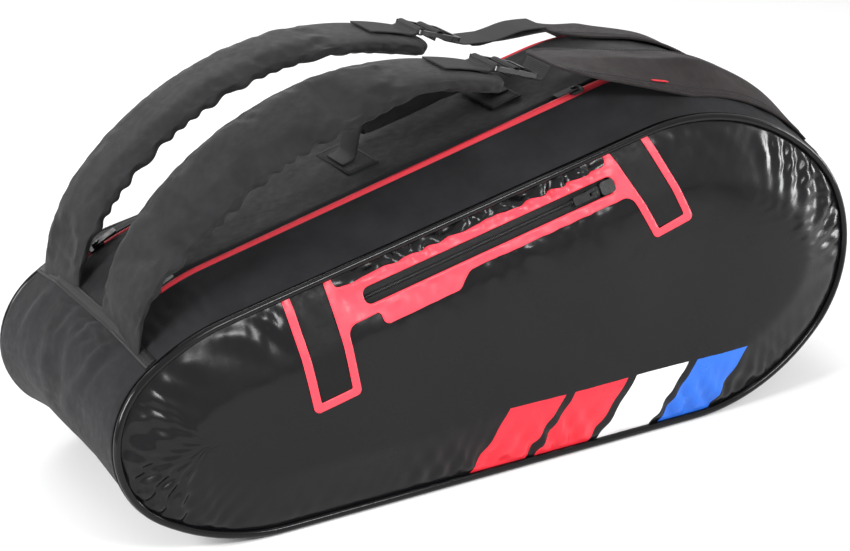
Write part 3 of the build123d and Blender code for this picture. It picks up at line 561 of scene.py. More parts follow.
# %% [markdown]
# ## Zips
#
# Each main zip is a pair of red tapes under the folded edges with a row of fine coil teeth.  The
# tapes follow the wall's curve, so they are another strip of the wall function, a little lower.
# The teeth are small rounded bars repeated along the line, and each has only a few faces.

# %% Repeated small bars
BAR = np.array([[x, y, z] for x in (-0.5, 0.5) for y, z in
                ((-0.5, 0.0), (-0.35, 0.35), (0.0, 0.5), (0.35, 0.35), (0.5, 0.0), (0.0, -0.4))])
BAR_FACES = [[k, (k + 1) % 6, 6 + (k + 1) % 6, 6 + k] for k in range(6)]
BAR_FACES += [[5, 4, 3, 2, 1, 0], [6, 7, 8, 9, 10, 11]]


def repeat_bars(name, centres, x_axes, z_axes, size):
    """Copies of one small six-sided bar, turned to two axes each, all worked out in one array."""
    y_axes = unit(np.cross(z_axes, x_axes))
    axes = np.stack([x_axes, y_axes, np.cross(x_axes, y_axes)], 1)
    points = centres[:, None, :] + np.einsum("ij,njk->nik", BAR * np.array(size), axes)
    starts = range(0, len(centres) * len(BAR), len(BAR))
    faces = [[k + start for k in face] for start in starts for face in BAR_FACES]
    return add_mesh(name, points.reshape(-1, 3), faces)


def wall_line(y, spacing, trim):
    """Points at even spacing along the top at one Y, with their running direction and normal."""
    s, _ = even_s(int(RIM_LENGTH))
    q = across_at(s, y)
    line = wall(s, q)
    along = run_lengths(line)
    places = np.arange(trim, along[-1] - trim, spacing)
    points = at_places(line, along, places)
    run = unit(np.gradient(points, axis=0))
    over = at_places(wall(s, q + 0.03) - wall(s, q - 0.03), along, places)
    normal = unit(np.cross(run, over))
    return points, run, normal * np.sign(normal[len(normal) // 2, 2])


def zip_band(name, y):
    """Tapes as one strip that dips under the folded edges, with a step up at the teeth."""
    s, _ = even_s(300)
    offsets = np.array([-11, -6, -4.4, -2.2, -1.6, -0.4, 0, 0.4, 1.6, 2.2, 4.4, 6, 11.0])
    depth = np.array([-3.6, -3.2, -2.2, -1.9, -1.5, -1.5, -1.9, -1.5, -1.5, -1.9, -2.2, -3.2, -3.6])
    points = np.stack([wall(s, across_at(s, y + offset)) for offset in offsets], 1)
    outwards = wall(s, across_at(s, y), 1.0) - wall(s, across_at(s, y))
    return grid(name, points + outwards[:, None, :] * depth[None, :, None], flip=TOP_FLIP)


def coil(name, y):
    """The teeth: short bars across the line, a tooth every 1.4 mm."""
    points, run, normal = wall_line(y, 1.4, 8.0)
    return repeat_bars(name, points - normal * 1.75, np.cross(run, normal), normal, (3.2, 0.95, 0.9))


front_tapes, back_tapes = zip_band("front_tapes", -ZIP_LINE), zip_band("back_tapes", ZIP_LINE)
front_teeth, back_teeth = coil("front_teeth", -ZIP_LINE), coil("back_teeth", ZIP_LINE)
print("teeth faces", len(front_teeth.data.polygons))

# %% [markdown]
# ## The two sewn seams
#
# Where gusset and top strips meet, the edges are folded together and sewn down with two rows of
# thread.  The band is a low double ridge carried across the bag along the seam.

# %% Seam bands and thread
def seam_points(end, offsets, heights):
    """Across the bag along one seam: each offset is a distance along the outline, each height a rise."""
    curves = []
    for number in range(4):
        middle = seam_u(number, end)
        u = np.linspace(middle - 0.9, middle + 0.9, 1201)
        along = run_lengths(outline(SECTIONS[number][0], 0.0, u))
        places = np.interp(offsets, along - along[600], u)
        low, high = (section_points(number, places, grow) for grow in (0.0, 1.0))
        curves.append(low + (high - low) * np.asarray(heights)[:, None])
    curves = np.stack(curves)
    q = np.linspace(0.0, 3.0, 91)
    corner = np.clip(np.floor(q).astype(int), 0, 2)
    share = (q - corner)[:, None, None]
    return curves[corner] * (1 - share) + curves[corner + 1] * share


def seam_band(name, end):
    """The folded band as a grid: a ridge at each row of thread and edges that tuck in."""
    offsets = np.array([-5.9, -5.6, -4.8, -3.1, -1.5, 0, 1.5, 3.1, 4.8, 5.6, 5.9])
    heights = np.array([-0.4, 0.8, 2.1, 1.3, 2.3, 1.0, 2.3, 1.3, 2.1, 0.8, -0.4])
    return grid(name, seam_points(end, offsets, heights), flip=True)


STITCH_STEP, STITCH_SIZE = 3.4, (2.5, 0.6, 0.7)


def thread_row(name, lines):
    """Stitches along lines of points with normals: one small bar every few millimetres."""
    rows = []
    for line, normal in lines:
        along = run_lengths(line)
        places = np.arange(STITCH_STEP / 2, along[-1], STITCH_STEP)
        points = at_places(line, along, places)
        rows.append((points, unit(np.gradient(points, axis=0)), unit(at_places(normal, along, places))))
    return repeat_bars(name, *(np.concatenate(column) for column in zip(*rows)), STITCH_SIZE)


def seam_thread(name, end):
    """Two rows of stitches in the band's two hollows."""
    lines = []
    for offset in (-3.1, 3.1):
        thread, base = (seam_points(end, np.array([offset]), [height])[:, 0] for height in (1.45, 0.25))
        lines.append((thread, thread - base))
    return thread_row(name, lines)


heel_band, head_band = seam_band("heel_band", "heel"), seam_band("head_band", "head")
heel_thread, head_thread = seam_thread("heel_thread", "heel"), seam_thread("head_thread", "head")
print("seam stitches", [len(piece.data.polygons) // 8 for piece in (heel_thread, head_thread)])

# %% [markdown]
# ## Trim, patches and pocket mouth
#
# The red trim is one flat shape: two open frames joined by a rounded strip with a slot in it.  A
# slab that follows the panel is cut with straight prisms, because a cut keeps both the clean
# outline and the panel's swell.  The corners are rounded with small arcs first.

# %% Rounded shapes and cuts
def rounded(corners):
    """A closed outline with each corner (a, b, radius) replaced by an arc touching both edges."""
    corners = np.array(corners, float)
    points = []
    for k in range(len(corners)):
        here, radius = corners[k, :2], corners[k, 2]
        to_last, to_next = corners[k - 1, :2] - here, corners[(k + 1) % len(corners), :2] - here
        e0, e1 = unit(to_last), unit(to_next)
        half = math.acos(np.clip(e0 @ e1, -1, 1)) / 2
        if radius <= 0 or half > 1.5:
            points.append(here[None])
            continue
        centre = here + unit(e0 + e1) * radius / math.sin(half)
        start, stop = (edge * radius / math.tan(half) + here - centre for edge in (e0, e1))
        a0, a1 = math.atan2(start[1], start[0]), math.atan2(stop[1], stop[0])
        turn = (a1 - a0 + math.pi) % TURN - math.pi
        angle = a0 + turn * np.linspace(0, 1, 9)
        points.append(centre + radius * np.stack([np.cos(angle), np.sin(angle)], -1))
    return np.concatenate(points)


def pocket_prism(name, corners):
    """A straight block through the panel with an outline given along and above the pocket zip."""
    shape = rounded(corners)
    x, v = from_pocket(shape[:, 0], shape[:, 1])
    ends = [panel_to_world(x, v, height) for height in (-20.0, 45.0)]
    count = len(shape)
    faces = [[k, (k + 1) % count, count + (k + 1) % count, count + k] for k in range(count)]
    faces += [list(range(count))[::-1], list(range(count, 2 * count))]
    return edit_mesh(add_mesh(name, np.concatenate(ends), faces), turn_outwards)


def panel_slab(name, a_range, b_range, low, high, step=2.5):
    """A closed slab over part of the panel: two copies of the panel's surface and their sides."""
    a, b = (np.linspace(*part, int((part[1] - part[0]) / step)) for part in (a_range, b_range))
    x, v = from_pocket(a[:, None] + 0 * b[None, :], 0 * a[:, None] + b[None, :])
    height = panel_height(x, v)
    top, bottom = panel_to_world(x, v, height + high), panel_to_world(x, v, height + low)
    return grid(name, np.concatenate([top, bottom[:, ::-1]], 1), round_columns=True, poles=True)


def cut(piece, corners, operation):
    """Applies one exact boolean with a prism and removes the prism."""
    step = piece.modifiers.new("cut", "BOOLEAN")
    step.operation, step.solver = operation, "EXACT"
    step.object = pocket_prism("cutter", corners)
    mesh = bpy.data.meshes.new_from_object(piece.evaluated_get(bpy.context.evaluated_depsgraph_get()))
    bpy.data.objects.remove(step.object)
    piece.modifiers.remove(step)
    piece.data = mesh
    piece.data.shade_smooth()


print("rounded corner points", len(rounded([(0, 0, 5), (40, 0, 5), (40, 40, 5)])))

# %% [markdown]
# ## The trim itself
#
# A frame's two lines lean, so a helper reads off a line's place at any level above the zip.  The
# outline then goes once round the whole film, in and out of both frames.  Both dark patches fill
# their frame up to its border.  The panel is left open under the slot.

# %% Trim, patches and slot
TOP_LEVEL, BORDER, LEFT_FOOT, RIGHT_FEET = 25.0, 7.5, -75.5, (-63.5, -61.0)
FRAMES = {-1: ((-199.7, TOP_LEVEL), (-152.0, TOP_LEVEL), (-159.0, LEFT_FOOT), (-205.0, LEFT_FOOT)),
          1: ((130.0, TOP_LEVEL), (179.8, TOP_LEVEL), (200.0, RIGHT_FEET[1]), (156.5, RIGHT_FEET[0]))}


def leg(side, edge, level, inset=0.0):
    """A point of an open frame's left (0) or right (1) line at a level above the zip, moved along."""
    top, bottom = FRAMES[side][edge], FRAMES[side][3 - edge]
    share = (level - top[1]) / (bottom[1] - top[1])
    return top[0] + share * (bottom[0] - top[0]) + inset, level


def frame_mouth(side, feet, border=BORDER):
    """The inner edge of an open frame: down its right line, along the foot and up its left line."""
    left_foot, right_foot = (foot + border for foot in feet)
    return [(*leg(side, 1, TOP_LEVEL, -border), 0), (*leg(side, 1, right_foot, -border), 1.5),
            (*leg(side, 0, left_foot, border), 1.5), (*leg(side, 0, TOP_LEVEL, border), 0)]


trim_outline = [
    (*leg(-1, 0, TOP_LEVEL), 0), (*leg(-1, 0, LEFT_FOOT), 5), (*leg(-1, 1, LEFT_FOOT), 5),
    (*leg(-1, 1, -RAIL_LEVEL), 10), (-121, -RAIL_LEVEL, 4), (-121, -28, 5), (-44, -28, 9),
    (-30, -RAIL_LEVEL, 9), (*leg(1, 0, -RAIL_LEVEL), 12), (*leg(1, 0, RIGHT_FEET[0]), 5),
    (*leg(1, 1, RIGHT_FEET[1]), 5), (*leg(1, 1, TOP_LEVEL), 0), *frame_mouth(1, RIGHT_FEET),
    (*leg(1, 0, TOP_LEVEL), 0), (*leg(1, 0, RAIL_LEVEL), 5.5), (*leg(-1, 1, RAIL_LEVEL), 5.5),
    (*leg(-1, 1, TOP_LEVEL), 0), *frame_mouth(-1, (LEFT_FOOT, LEFT_FOOT)),
]
slot_outline = [(a * POCKET_HALF, b * SLOT_HALF, 7) for a, b in ((-1, -1), (1, -1), (1, 1), (-1, 1))]
red_trim = panel_slab("red_trim", (-210, 206), (-80, 27), 0.15, 1.3)
cut(red_trim, trim_outline, "INTERSECT")
cut(red_trim, slot_outline, "DIFFERENCE")
patches = []
for side, name, foot, a_range in ((-1, "left_patch", LEFT_FOOT, (-208, -148)),
                                  (1, "right_patch", -62.0, (128, 206))):
    patches.append(panel_slab(name, a_range, (-80, 27), 0.1, 0.8))
    cut(patches[-1], frame_mouth(side, (foot, foot), BORDER - 0.2), "INTERSECT")


def open_slot(bm):
    """Leaves out the panel's faces over the zip, under the trim's edge."""
    co = np.array([vert.co for vert in bm.verts]) / MM
    v = co[:, 2] * math.cos(LEAN) + (co[:, 1] + BASE_DEPTH / 2) * math.sin(LEAN)
    a, b = pocket_place(co[:, 0], v)
    inside = (np.abs(a) < POCKET_HALF + 1.5) & (np.abs(b) < SLOT_HALF + 1.5)
    doomed = [face for face in bm.faces if any(inside[vert.index] for vert in face.verts)]
    bmesh.ops.delete(bm, geom=doomed, context="FACES")


edit_mesh(front_cover, open_slot)
print("front faces", len(front_cover.data.polygons), "trim faces", len(red_trim.data.polygons))

# %% [markdown]
# ## Teeth of the pocket zip
#
# The pocket zip's teeth are the same small bars, set along its straight line in the panel's plane.

# %% Pocket zip teeth
ZIP_ORIGIN = np.array((-19.699, -129.301, 219.208))
ZIP_X, ZIP_UP, ZIP_OUT = np.array([(0.97912, 0.02125, 0.20215), (-0.1961, 0.36042, 0.91195),
                                   (-0.05348, -0.93255, 0.35706)])
places = np.arange(-129.5, 115.0, 1.4)
teeth_at = ZIP_ORIGIN + places[:, None] * ZIP_X - 2.2 * ZIP_OUT
pocket_teeth = repeat_bars("pocket_teeth", teeth_at, np.tile(ZIP_UP, (len(places), 1)),
                           np.tile(ZIP_OUT, (len(places), 1)), (3.1, 0.95, 1.0))
print("pocket teeth", len(places))

# %% [markdown]
# ## Shoulder straps
#
# A strap pad is a long crowned cushion in the shape of an arch.  Its side view is two arcs, and its
# section is a rounded box.  The seams near its inner face are shorter than the cloth between them,
# so a cloth simulation with a little air pressure and slightly oversized cloth gathers it there.

# %% Pad line and section
PAD_ROOT, PAD_HEADINGS, PAD_RADII = (-343.0, 190.0), (82.0, 47.0, -20.0), (150.0, 300.0)
STRAP_Y, PAD_HALF, PAD_THICK = 66.0, 41.0, 16.0
PAD_FIRST = polar(PAD_ROOT, PAD_RADII[0], PAD_HEADINGS[0] - 90)
PAD_SECOND = polar(PAD_FIRST, PAD_RADII[0] - PAD_RADII[1], PAD_HEADINGS[1] + 90)
PAD_FIRST_RUN = PAD_RADII[0] * math.radians(PAD_HEADINGS[0] - PAD_HEADINGS[1])
PAD_LENGTH = PAD_FIRST_RUN + PAD_RADII[1] * math.radians(PAD_HEADINGS[1] - PAD_HEADINGS[2])


def pad_line(length):
    """The pad's outer line at distances from its root: a straight lead-in, then two arcs."""
    length = np.asarray(length, float)
    first = np.degrees(np.clip(length, 0, PAD_FIRST_RUN) / PAD_RADII[0])
    second = np.degrees(np.clip(length - PAD_FIRST_RUN, 0, None) / PAD_RADII[1])
    heading = PAD_HEADINGS[0] - first - second
    on_first = polar(PAD_FIRST, PAD_RADII[0], heading + 90)
    on_second = polar(PAD_SECOND, PAD_RADII[1], heading + 90)
    point = np.where((length < PAD_FIRST_RUN)[..., None], on_first, on_second)
    run = np.stack([np.cos(np.radians(heading)), np.sin(np.radians(heading))], -1)
    point = point + run * np.clip(length, None, 0)[..., None]
    return point, run


def superellipse(angle, power):
    """Cosine and sine drawn towards a box: each is raised to 2 over the power, keeping its sign."""
    c, s = np.cos(angle), np.sin(angle)
    return np.sign(c) * np.abs(c) ** (2 / power), np.sign(s) * np.abs(s) ** (2 / power)


def pad_points(side):
    """Rings of the pad: a rounded box section, thin at its root and gathered along its edges.

    The front pad also leans outwards: each ring is turned about its inner edge by an angle that
    grows from the root and is gone again at the buckle.
    """
    length = np.concatenate([np.linspace(-22, PAD_LENGTH - 22, 96),
                             PAD_LENGTH - 22 + 22 * np.sin(np.linspace(0.15, 1.0, 8) * math.pi / 2)])
    angle = np.linspace(0, TURN, 48, endpoint=False)
    cy, cn = superellipse(angle, 3.0)
    tip = np.clip((length - (PAD_LENGTH - 22)) / 22, 0, 0.999)
    half = PAD_HALF - 1.5 - 20 * (1 - np.sqrt(1 - tip**2))
    thick = (PAD_THICK - 1.5) * (0.42 + 0.58 * smooth_step(length, -5, 70)) * (1 - 0.35 * tip**3)
    out = (cn[None, :] * 0.5 - 0.5) * thick[:, None] - 0.75
    gather = uneven_sine(length, 21, 2.2, 97, late=side)
    gather = (gather * (1 - 0.7 * smooth_step(length, 210, 330)) * smooth_step(length, 10, 50))[:, None]
    edge = np.abs(cy[None, :]) ** 6 * smooth_step(-cn[None, :], -0.5, 0.4)
    over = cy[None, :] * half[:, None] + np.sign(cy)[None, :] * edge * gather * 2.3
    out = out - gather * 1.7 * np.abs(cy[None, :]) ** 3 * (cn[None, :] < 0)
    lean = math.radians(15.0 if side < 0 else 0.0) * smooth_step(length, 15, 130)
    lean = (lean * (1 - smooth_step(length, PAD_LENGTH - 170, PAD_LENGTH - 66)))[:, None]
    arm = over - PAD_HALF
    over = PAD_HALF + arm * np.cos(lean) - out * np.sin(lean)
    out = out * np.cos(lean) + arm * np.sin(lean)
    point, run = pad_line(length)
    x, z = point[:, :1] - run[:, 1:] * out, point[:, 1:] + run[:, :1] * out
    return np.stack([x, side * STRAP_Y + over, z], -1), angle


print("pad length", round(PAD_LENGTH), "mm")

# %% [markdown]
# ## Cloth under pressure
#
# One helper runs the cloth for a piece.  The fabric is a little too large and air presses from
# inside, so it puffs up between the seams, which are pinned.  The shift of every point is kept within
# a cap, and the result is stored in the mesh, so nothing live is left.

# %% Cloth helper
def read_points(mesh):
    """All the points of a mesh as one array, in metres."""
    values = np.empty(len(mesh.vertices) * 3, np.float32)
    mesh.vertices.foreach_get("co", values)
    return values.reshape(-1, 3)


def puff(piece, pinned, pressure, grow, cap, frames=16):
    """Cloth with air pressure and oversized fabric, pinned at its seams; no point moves past the cap."""
    rest = read_points(piece.data)
    group = piece.vertex_groups.new(name="pinned")
    group.add([int(k) for k in pinned], 1.0, "REPLACE")
    cloth = piece.modifiers.new("cloth", "CLOTH")
    settings = cloth.settings
    settings.use_pressure, settings.uniform_pressure_force = True, pressure
    settings.vertex_group_mass, settings.shrink_min = "pinned", -grow
    settings.effector_weights.gravity = 0.0
    settings.tension_stiffness = settings.compression_stiffness = 25.0
    settings.bending_stiffness, settings.quality = 0.3, 6
    cloth.point_cache.frame_start, cloth.point_cache.frame_end = 1, frames
    scene = bpy.context.scene
    for number in range(1, frames + 1):
        scene.frame_set(number)
    moved = read_points(piece.evaluated_get(bpy.context.evaluated_depsgraph_get()).to_mesh())
    piece.modifiers.remove(cloth)
    piece.vertex_groups.clear()
    scene.frame_set(1)
    shift = moved - rest
    size = np.linalg.norm(shift, axis=1, keepdims=True)
    shift *= np.minimum(1.0, cap * MM / np.maximum(size, 1e-9))
    piece.data.vertices.foreach_set("co", (rest + shift).ravel())
    piece.data.update()
    print(piece.name, "moved up to", round(float(size.max()) / MM, 1), "mm")


def finish_smooth(piece):
    """One level of subdivision, the same in views and renders."""
    smooth = piece.modifiers.new("smooth", "SUBSURF")
    smooth.levels = smooth.render_levels = 1
    return piece


def angle_gap(angle, target):
    """Distance between angles the short way round."""
    return np.abs((angle - target + math.pi) % TURN - math.pi)


print("cloth runs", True)

# %% [markdown]
# ## The two pads
#
# Each pad is pinned along four seams, at its root and tip, and where the buckle's tab is sewn on.

# %% Strap pads
STRAPS = ((-1, "front", 68.0), (1, "back", 150.0))
SEAM_ANGLES = np.radians([-24.0, 24.0, 156.0, 204.0])
pads = {}
for side, name, _ in STRAPS:
    points, angle = pad_points(side)
    pad = grid(f"{name}_pad", points, round_columns=True, poles=True)
    ring = np.arange(points.shape[0] * points.shape[1]).reshape(points.shape[:2])
    seat = ring[-26:][:, angle_gap(angle, math.pi / 2) < 1.2]
    seams = [ring[:, int(angle_gap(angle, place).argmin())] for place in SEAM_ANGLES]
    held = [ring[:6].ravel(), ring[-3:].ravel(), seat.ravel(), *seams]
    puff(pad, np.concatenate(held), 3.0, 0.035, 3.5)
    pads[name] = finish_smooth(pad)
print("pad points", [len(pad.data.vertices) for pad in pads.values()])

# %% [markdown]
# ## Bands of webbing
#
# Webbing is a flat tape that bends only one way.  Each band carries one rounded flat section along
# a smoothed path, with its width held level across the bag.  Cutting the corners of the path a few
# times turns a handful of points into an even curve.

# %% Band helper
def smooth_path(points, rounds=3, spacing=2.5):
    """Corner cutting: each pass keeps a quarter and three quarters of every run, then even spacing."""
    points = np.array(points, float)
    for _ in range(rounds):
        a = points[:-1] * 0.75 + points[1:] * 0.25
        b = points[:-1] * 0.25 + points[1:] * 0.75
        inner = np.stack([a, b], 1).reshape(-1, points.shape[1])
        points = np.concatenate([points[:1], inner[1:-1], points[-1:]])
    along = run_lengths(points)
    return at_places(points, along, np.linspace(0, along[-1], max(8, int(along[-1] / spacing))))


def band(name, path, width, thick):
    """A tape: at each path point the rounded section is Y by width plus normal by thickness."""
    path, across = np.array(path, float), np.array([0.0, 1.0, 0.0])
    normal = unit(np.cross(unit(np.gradient(path, axis=0)), across))
    c, s = superellipse(np.linspace(0, TURN, 28, endpoint=False), 7.0)
    points = (path[:, None] + across * (c * width / 2)[None, :, None]
              + normal[:, None] * (s * thick / 2)[None, :, None])
    return grid(name, points, round_columns=True, poles=True)


def in_y(points, y):
    """Side-view points (x, z) placed at one Y."""
    points = np.array(points, float)
    return np.stack([points[:, 0], np.full(len(points), y), points[:, 1]], -1)


print("a corner becomes", len(smooth_path([(0, 0), (20, 0), (20, 20)])), "points")

# %% [markdown]
# ## Buckle ends
#
# A tab sewn on the pad's end goes round the buckle's first bar.  The webbing comes up from under the
# buckle, over its middle bar and down again.  The buckle lies on its own slanted plane, so these
# paths are written in that plane and turned into place.

# %% Tabs, loops and runs
BUCKLE_TURN, BUCKLE_LENGTH = math.radians(-18.0), 42.0


def strap_point(heading, out):
    """A point of the pad's outer line where it runs at a heading, moved outwards."""
    return polar(PAD_SECOND, PAD_RADII[1] + out, heading + 90)


BUCKLE_AT = strap_point(PAD_HEADINGS[2] + math.degrees(8.0 / PAD_RADII[1]), 6.0)


def from_buckle(points):
    """Side-view places of points given along and above the buckle's plane."""
    c, s = math.cos(BUCKLE_TURN), math.sin(BUCKLE_TURN)
    return BUCKLE_AT + np.array(points, float) @ np.array([(c, s), (-s, c)])


def wing_height(x, out=3.0):
    """Height of a wing's straight run above the floor: it leaves the head shoulder at 9.5 degrees."""
    leave = polar(RIDGE["head"]["high"], RIDGE["head"]["radius"] + out, 80.5)
    return leave[1] + (leave[0] - x) * math.tan(math.radians(9.5))


def pad_headings(lengths):
    """Headings of the pad's outer line at distances before its end."""
    return PAD_HEADINGS[2] + np.degrees(np.array(lengths) / PAD_RADII[1])


bend = np.radians(np.linspace(205, -140, 22))
round_bar = from_buckle(np.stack([3.1 * np.cos(bend), 3.1 * np.sin(bend)], -1))
tab_path = np.concatenate([strap_point(pad_headings(np.linspace(60.0, 15.0, 14)), 1.6), round_bar,
                           strap_point(pad_headings([15.0, 24.0]), 0.9)])
over_bar = from_buckle([
    (17.2, -6.0), (17.4, -2.6), (17.6, 1.6), (18.6, 3.2), (21.0, 3.9), (23.4, 3.2), (24.4, 1.6),
    (24.6, -2.2), (27.5, -3.9), (34.0, -4.1), (BUCKLE_LENGTH + 3.6, -4.1)])
start = from_buckle([(BUCKLE_LENGTH + 4.3, -4.1), (BUCKLE_LENGTH + 9.0, -4.1)])
tabs, loops, runs = {}, {}, {}
for side, name, tip_x in STRAPS:
    y = side * STRAP_Y
    tabs[name] = band(f"{name}_tab", smooth_path(in_y(tab_path, y), 2, 1.6), 40.0, 1.9)
    loops[name] = band(f"{name}_loop", smooth_path(in_y(over_bar, y), 2, 1.2), 38.0, 1.5)
    stop = np.array([tip_x + 1.0, wing_height(tip_x) - 0.4])
    middle = (start[1] + stop) / 2
    sag = [start[0], start[1], (start[1] + middle) / 2 - (0, 1.0), middle - (0, 1.6),
           stop * 0.7 + middle * 0.3, stop]
    runs[name] = [band(f"{name}_run", smooth_path(in_y(sag, y), 2), 38.0, 1.5)]
tail_from = from_buckle([(BUCKLE_LENGTH + 18, -3.6), (BUCKLE_LENGTH + 26, -2.4)])
tail_stop = np.array([149.0, wing_height(149.0) + 2.6])
tail_mid = [tail_from[-1] * (1 - share) + tail_stop * share + (0, rise)
            for share, rise in ((0.35, 1.2), (0.6, 3.6), (0.8, 2.4))]
tail = in_y(np.concatenate([tail_from, tail_mid, [tail_stop]]), STRAP_Y + 0.6)
runs["back"].append(band("back_tail", smooth_path(tail, 2), 37.0, 1.5))
print("buckle bar at", np.round(BUCKLE_AT, 1))

# %% [markdown]
# ## Wings
#
# A wing is a doubled sheet that anchors the strap's webbing.  It lies on the bag's top round the head
# shoulder, then runs free and straight to a rounded tip.  Two rows of thread follow its edge.

# %% Wing sheets
WING_OUT, WING_LEAVE_X = 3.0, 216.0


def wing_points(side, tip_x):
    """Rows from tip to head seam: straight to the shoulder, then the wall's own curve; columns go across."""
    across = np.concatenate([[0.0, 0.008, 0.02, 0.04], np.linspace(0.08, 0.92, 24),
                             [0.96, 0.98, 0.992, 1.0]])
    dense = np.linspace(0.004, 0.5, 900)
    free, lap = np.linspace(0, 1, 44), np.linspace(0, 1, 40)
    rows = []
    for share in across:
        line = wall(dense, across_at(dense, side * (25 + 73 * share)), WING_OUT)
        leave = int((line[:, 0] > WING_LEAVE_X).sum())
        on_bag = at_places(line[:leave], np.linspace(0, 1, leave), lap)[::-1]
        tip = np.array([tip_x, side * (25 + 82 * share), wing_height(tip_x)])
        in_air = tip + (line[leave] - tip) * free[:, None]
        rows.append(np.concatenate([in_air[:-1], on_bag]))
    return np.stack(rows, 1), across


def wing_sheet(side, tip_x, tip_half=20.0):
    """The sheet with its tip drawn in to the webbing's width and soft waves on its free part."""
    points, across = wing_points(side, tip_x)
    x = points[..., 0].copy()
    reach = np.clip((x[:, :1] - tip_x) / 46.0, 0, 1)
    half = tip_half + (41.0 - tip_half) * np.sqrt(1 - (1 - reach) ** 2)
    drawn = side * STRAP_Y + side * (2 * across[None, :] - 1) * half
    free = 1 - smooth_step(x[:, :1], tip_x + 40, tip_x + 60)
    points[..., 1] = points[..., 1] * (1 - free) + drawn * free
    swell = 1.6 * waves(x, points[..., 1], 90, 50 + side) * smooth_step(x, tip_x, tip_x + 50)
    edge = np.minimum(across, 1 - across)[None, :]
    points[..., 2] += 0.8 * swell * smooth_step(edge, 0, 0.25) * (1 - smooth_step(x, 280, 330))
    points[..., 2] += 2.2 * np.sin(math.pi * across)[None, :] * (1 - smooth_step(x, 190, 260)) * reach
    return points, across


def wing_lines(points, across, inset):
    """Two lines of points at a distance inside both long edges, with their normals."""
    normal = grid_normals(points)
    normal *= np.sign(normal[..., 2:3])
    share = inset / 80.0
    place = np.interp([share, 1 - share], across, np.arange(len(across)))
    low, high = np.floor(place).astype(int), np.ceil(place).astype(int)
    mix = (place - low)[None, :, None]
    lines = points[:, low] * (1 - mix) + points[:, high] * mix
    return [(lines[3:-2, k] + normal[3:-2, low[k]] * 1.25, normal[3:-2, low[k]]) for k in range(2)]


wing_sheets = {name: wing_sheet(side, tip_x) for side, name, tip_x in STRAPS}
wings, wing_threads = {}, {}
for name, (points, across) in wing_sheets.items():
    wing = grid(f"{name}_wing", points, flip=faces_up(points))
    wings[name] = thicken(wing, 2.2, 0.0)
    lines = wing_lines(points, across, 3.5) + wing_lines(points, across, 8.0)
    wing_threads[name] = thread_row(f"{name}_wing_thread", lines)
print("wing points", [len(wing.data.vertices) for wing in wings.values()])

# %% [markdown]
# ## Grab handle
#
# The handle is a strip of webbing between two sewn patches, with a padded sleeve round its middle.
# It follows the slope of the top, so its points are written along, across and above that slope.

# %% Handle
HANDLE_X, HANDLE_RUN = -17.0, np.array([0.97157, 0.0, 0.23674])
HANDLE_UP = np.array([-0.23674, 0.0, 0.97157])
ridge_top = outline(RIDGE, 0.0, np.linspace(4.05, 4.95, 2001))
HANDLE_AT = np.array([HANDLE_X, 0.0, ridge_top[np.abs(ridge_top[:, 0] - HANDLE_X).argmin(), 1]])


def on_top(points):
    """Points given along, across and above the slope at the handle."""
    return HANDLE_AT + np.array(points, float) @ np.array([HANDLE_RUN, (0, 1, 0), HANDLE_UP])


def grip_points():
    """The sleeve: a rounded box section that draws in a little at both ends, with two raised seams."""
    bow = 4 * (1 - np.cos(np.linspace(0, math.pi / 2, 5)))
    along = np.concatenate([bow - 61, np.linspace(-56, 56, 46), 61 - bow[::-1]])[:, None]
    angle = np.linspace(0, TURN, 48, endpoint=False)[None, :]
    c, s = superellipse(angle, 4.2)
    end = np.sqrt(np.clip(1 - ((np.abs(along) - 57) / 4).clip(0, 1) ** 2, 0, 1))
    half, thick = 16.2 - 2.0 * (1 - end), 10.2 - 2.6 * (1 - end)
    hem = 1 + 0.09 * np.exp(-(((np.abs(c) - 0.86) / 0.06) ** 2)) * (s > 0.3)
    ripple = 1 + 0.02 * waves(along + 0 * angle, 14 * angle + 0 * along, 26, 61)
    return on_top(np.stack([along + 0 * c, c * half, 31.2 + s * thick * hem * ripple], -1))


points = grip_points()
grip = grid("grip", points, round_columns=True, poles=True)
ring = np.arange(points.shape[0] * points.shape[1]).reshape(points.shape[:2])
puff(grip, np.concatenate([ring[:3].ravel(), ring[-3:].ravel()]), 2.0, 0.02, 1.6, 12)
finish_smooth(grip)
legs, anchors, anchor_threads = [], [], []
for sign, name in ((-1, "heel"), (1, "head")):
    leg_path = [(88, 4.3), (79, 4.3), (74, 6.0), (70, 14), (66, 24), (61, 30.6), (52, 31.2), (20, 31.2)]
    sole_path = [(91.5, 1.5), (84, 1.7), (70, 1.7), (60.5, 1.5)]
    leg_path, sole_path = (on_top([(sign * x, 0, z) for x, z in path]) for path in (leg_path, sole_path))
    legs.append(band(f"{name}_leg", smooth_path(leg_path), 30.0, 2.2))
    anchors.append(band(f"{name}_anchor", smooth_path(sole_path), 62.0, 2.4))
    box = [(np.full(34, x), np.linspace(-28, 28, 34)) for x in (89.0, 63.0)]
    box += [(np.linspace(63, 89, 20), np.full(20, y)) for y in (-28.0, 28.0)]
    lines = [on_top(np.stack([sign * x, y, np.full(len(x), 2.9)], -1)) for x, y in box]
    anchor_threads.append(thread_row(f"{name}_anchor_thread",
                                     [(line, np.tile(HANDLE_UP, (len(line), 1))) for line in lines]))
print("handle at", np.round(HANDLE_AT, 1))

# %% [markdown]
# ## The folded tag
#
# A narrow red tag is sewn into the front wing.  It is a short piece of tape that lies just clear of
# the wing's cloth, so its path is taken from two points of the wing.

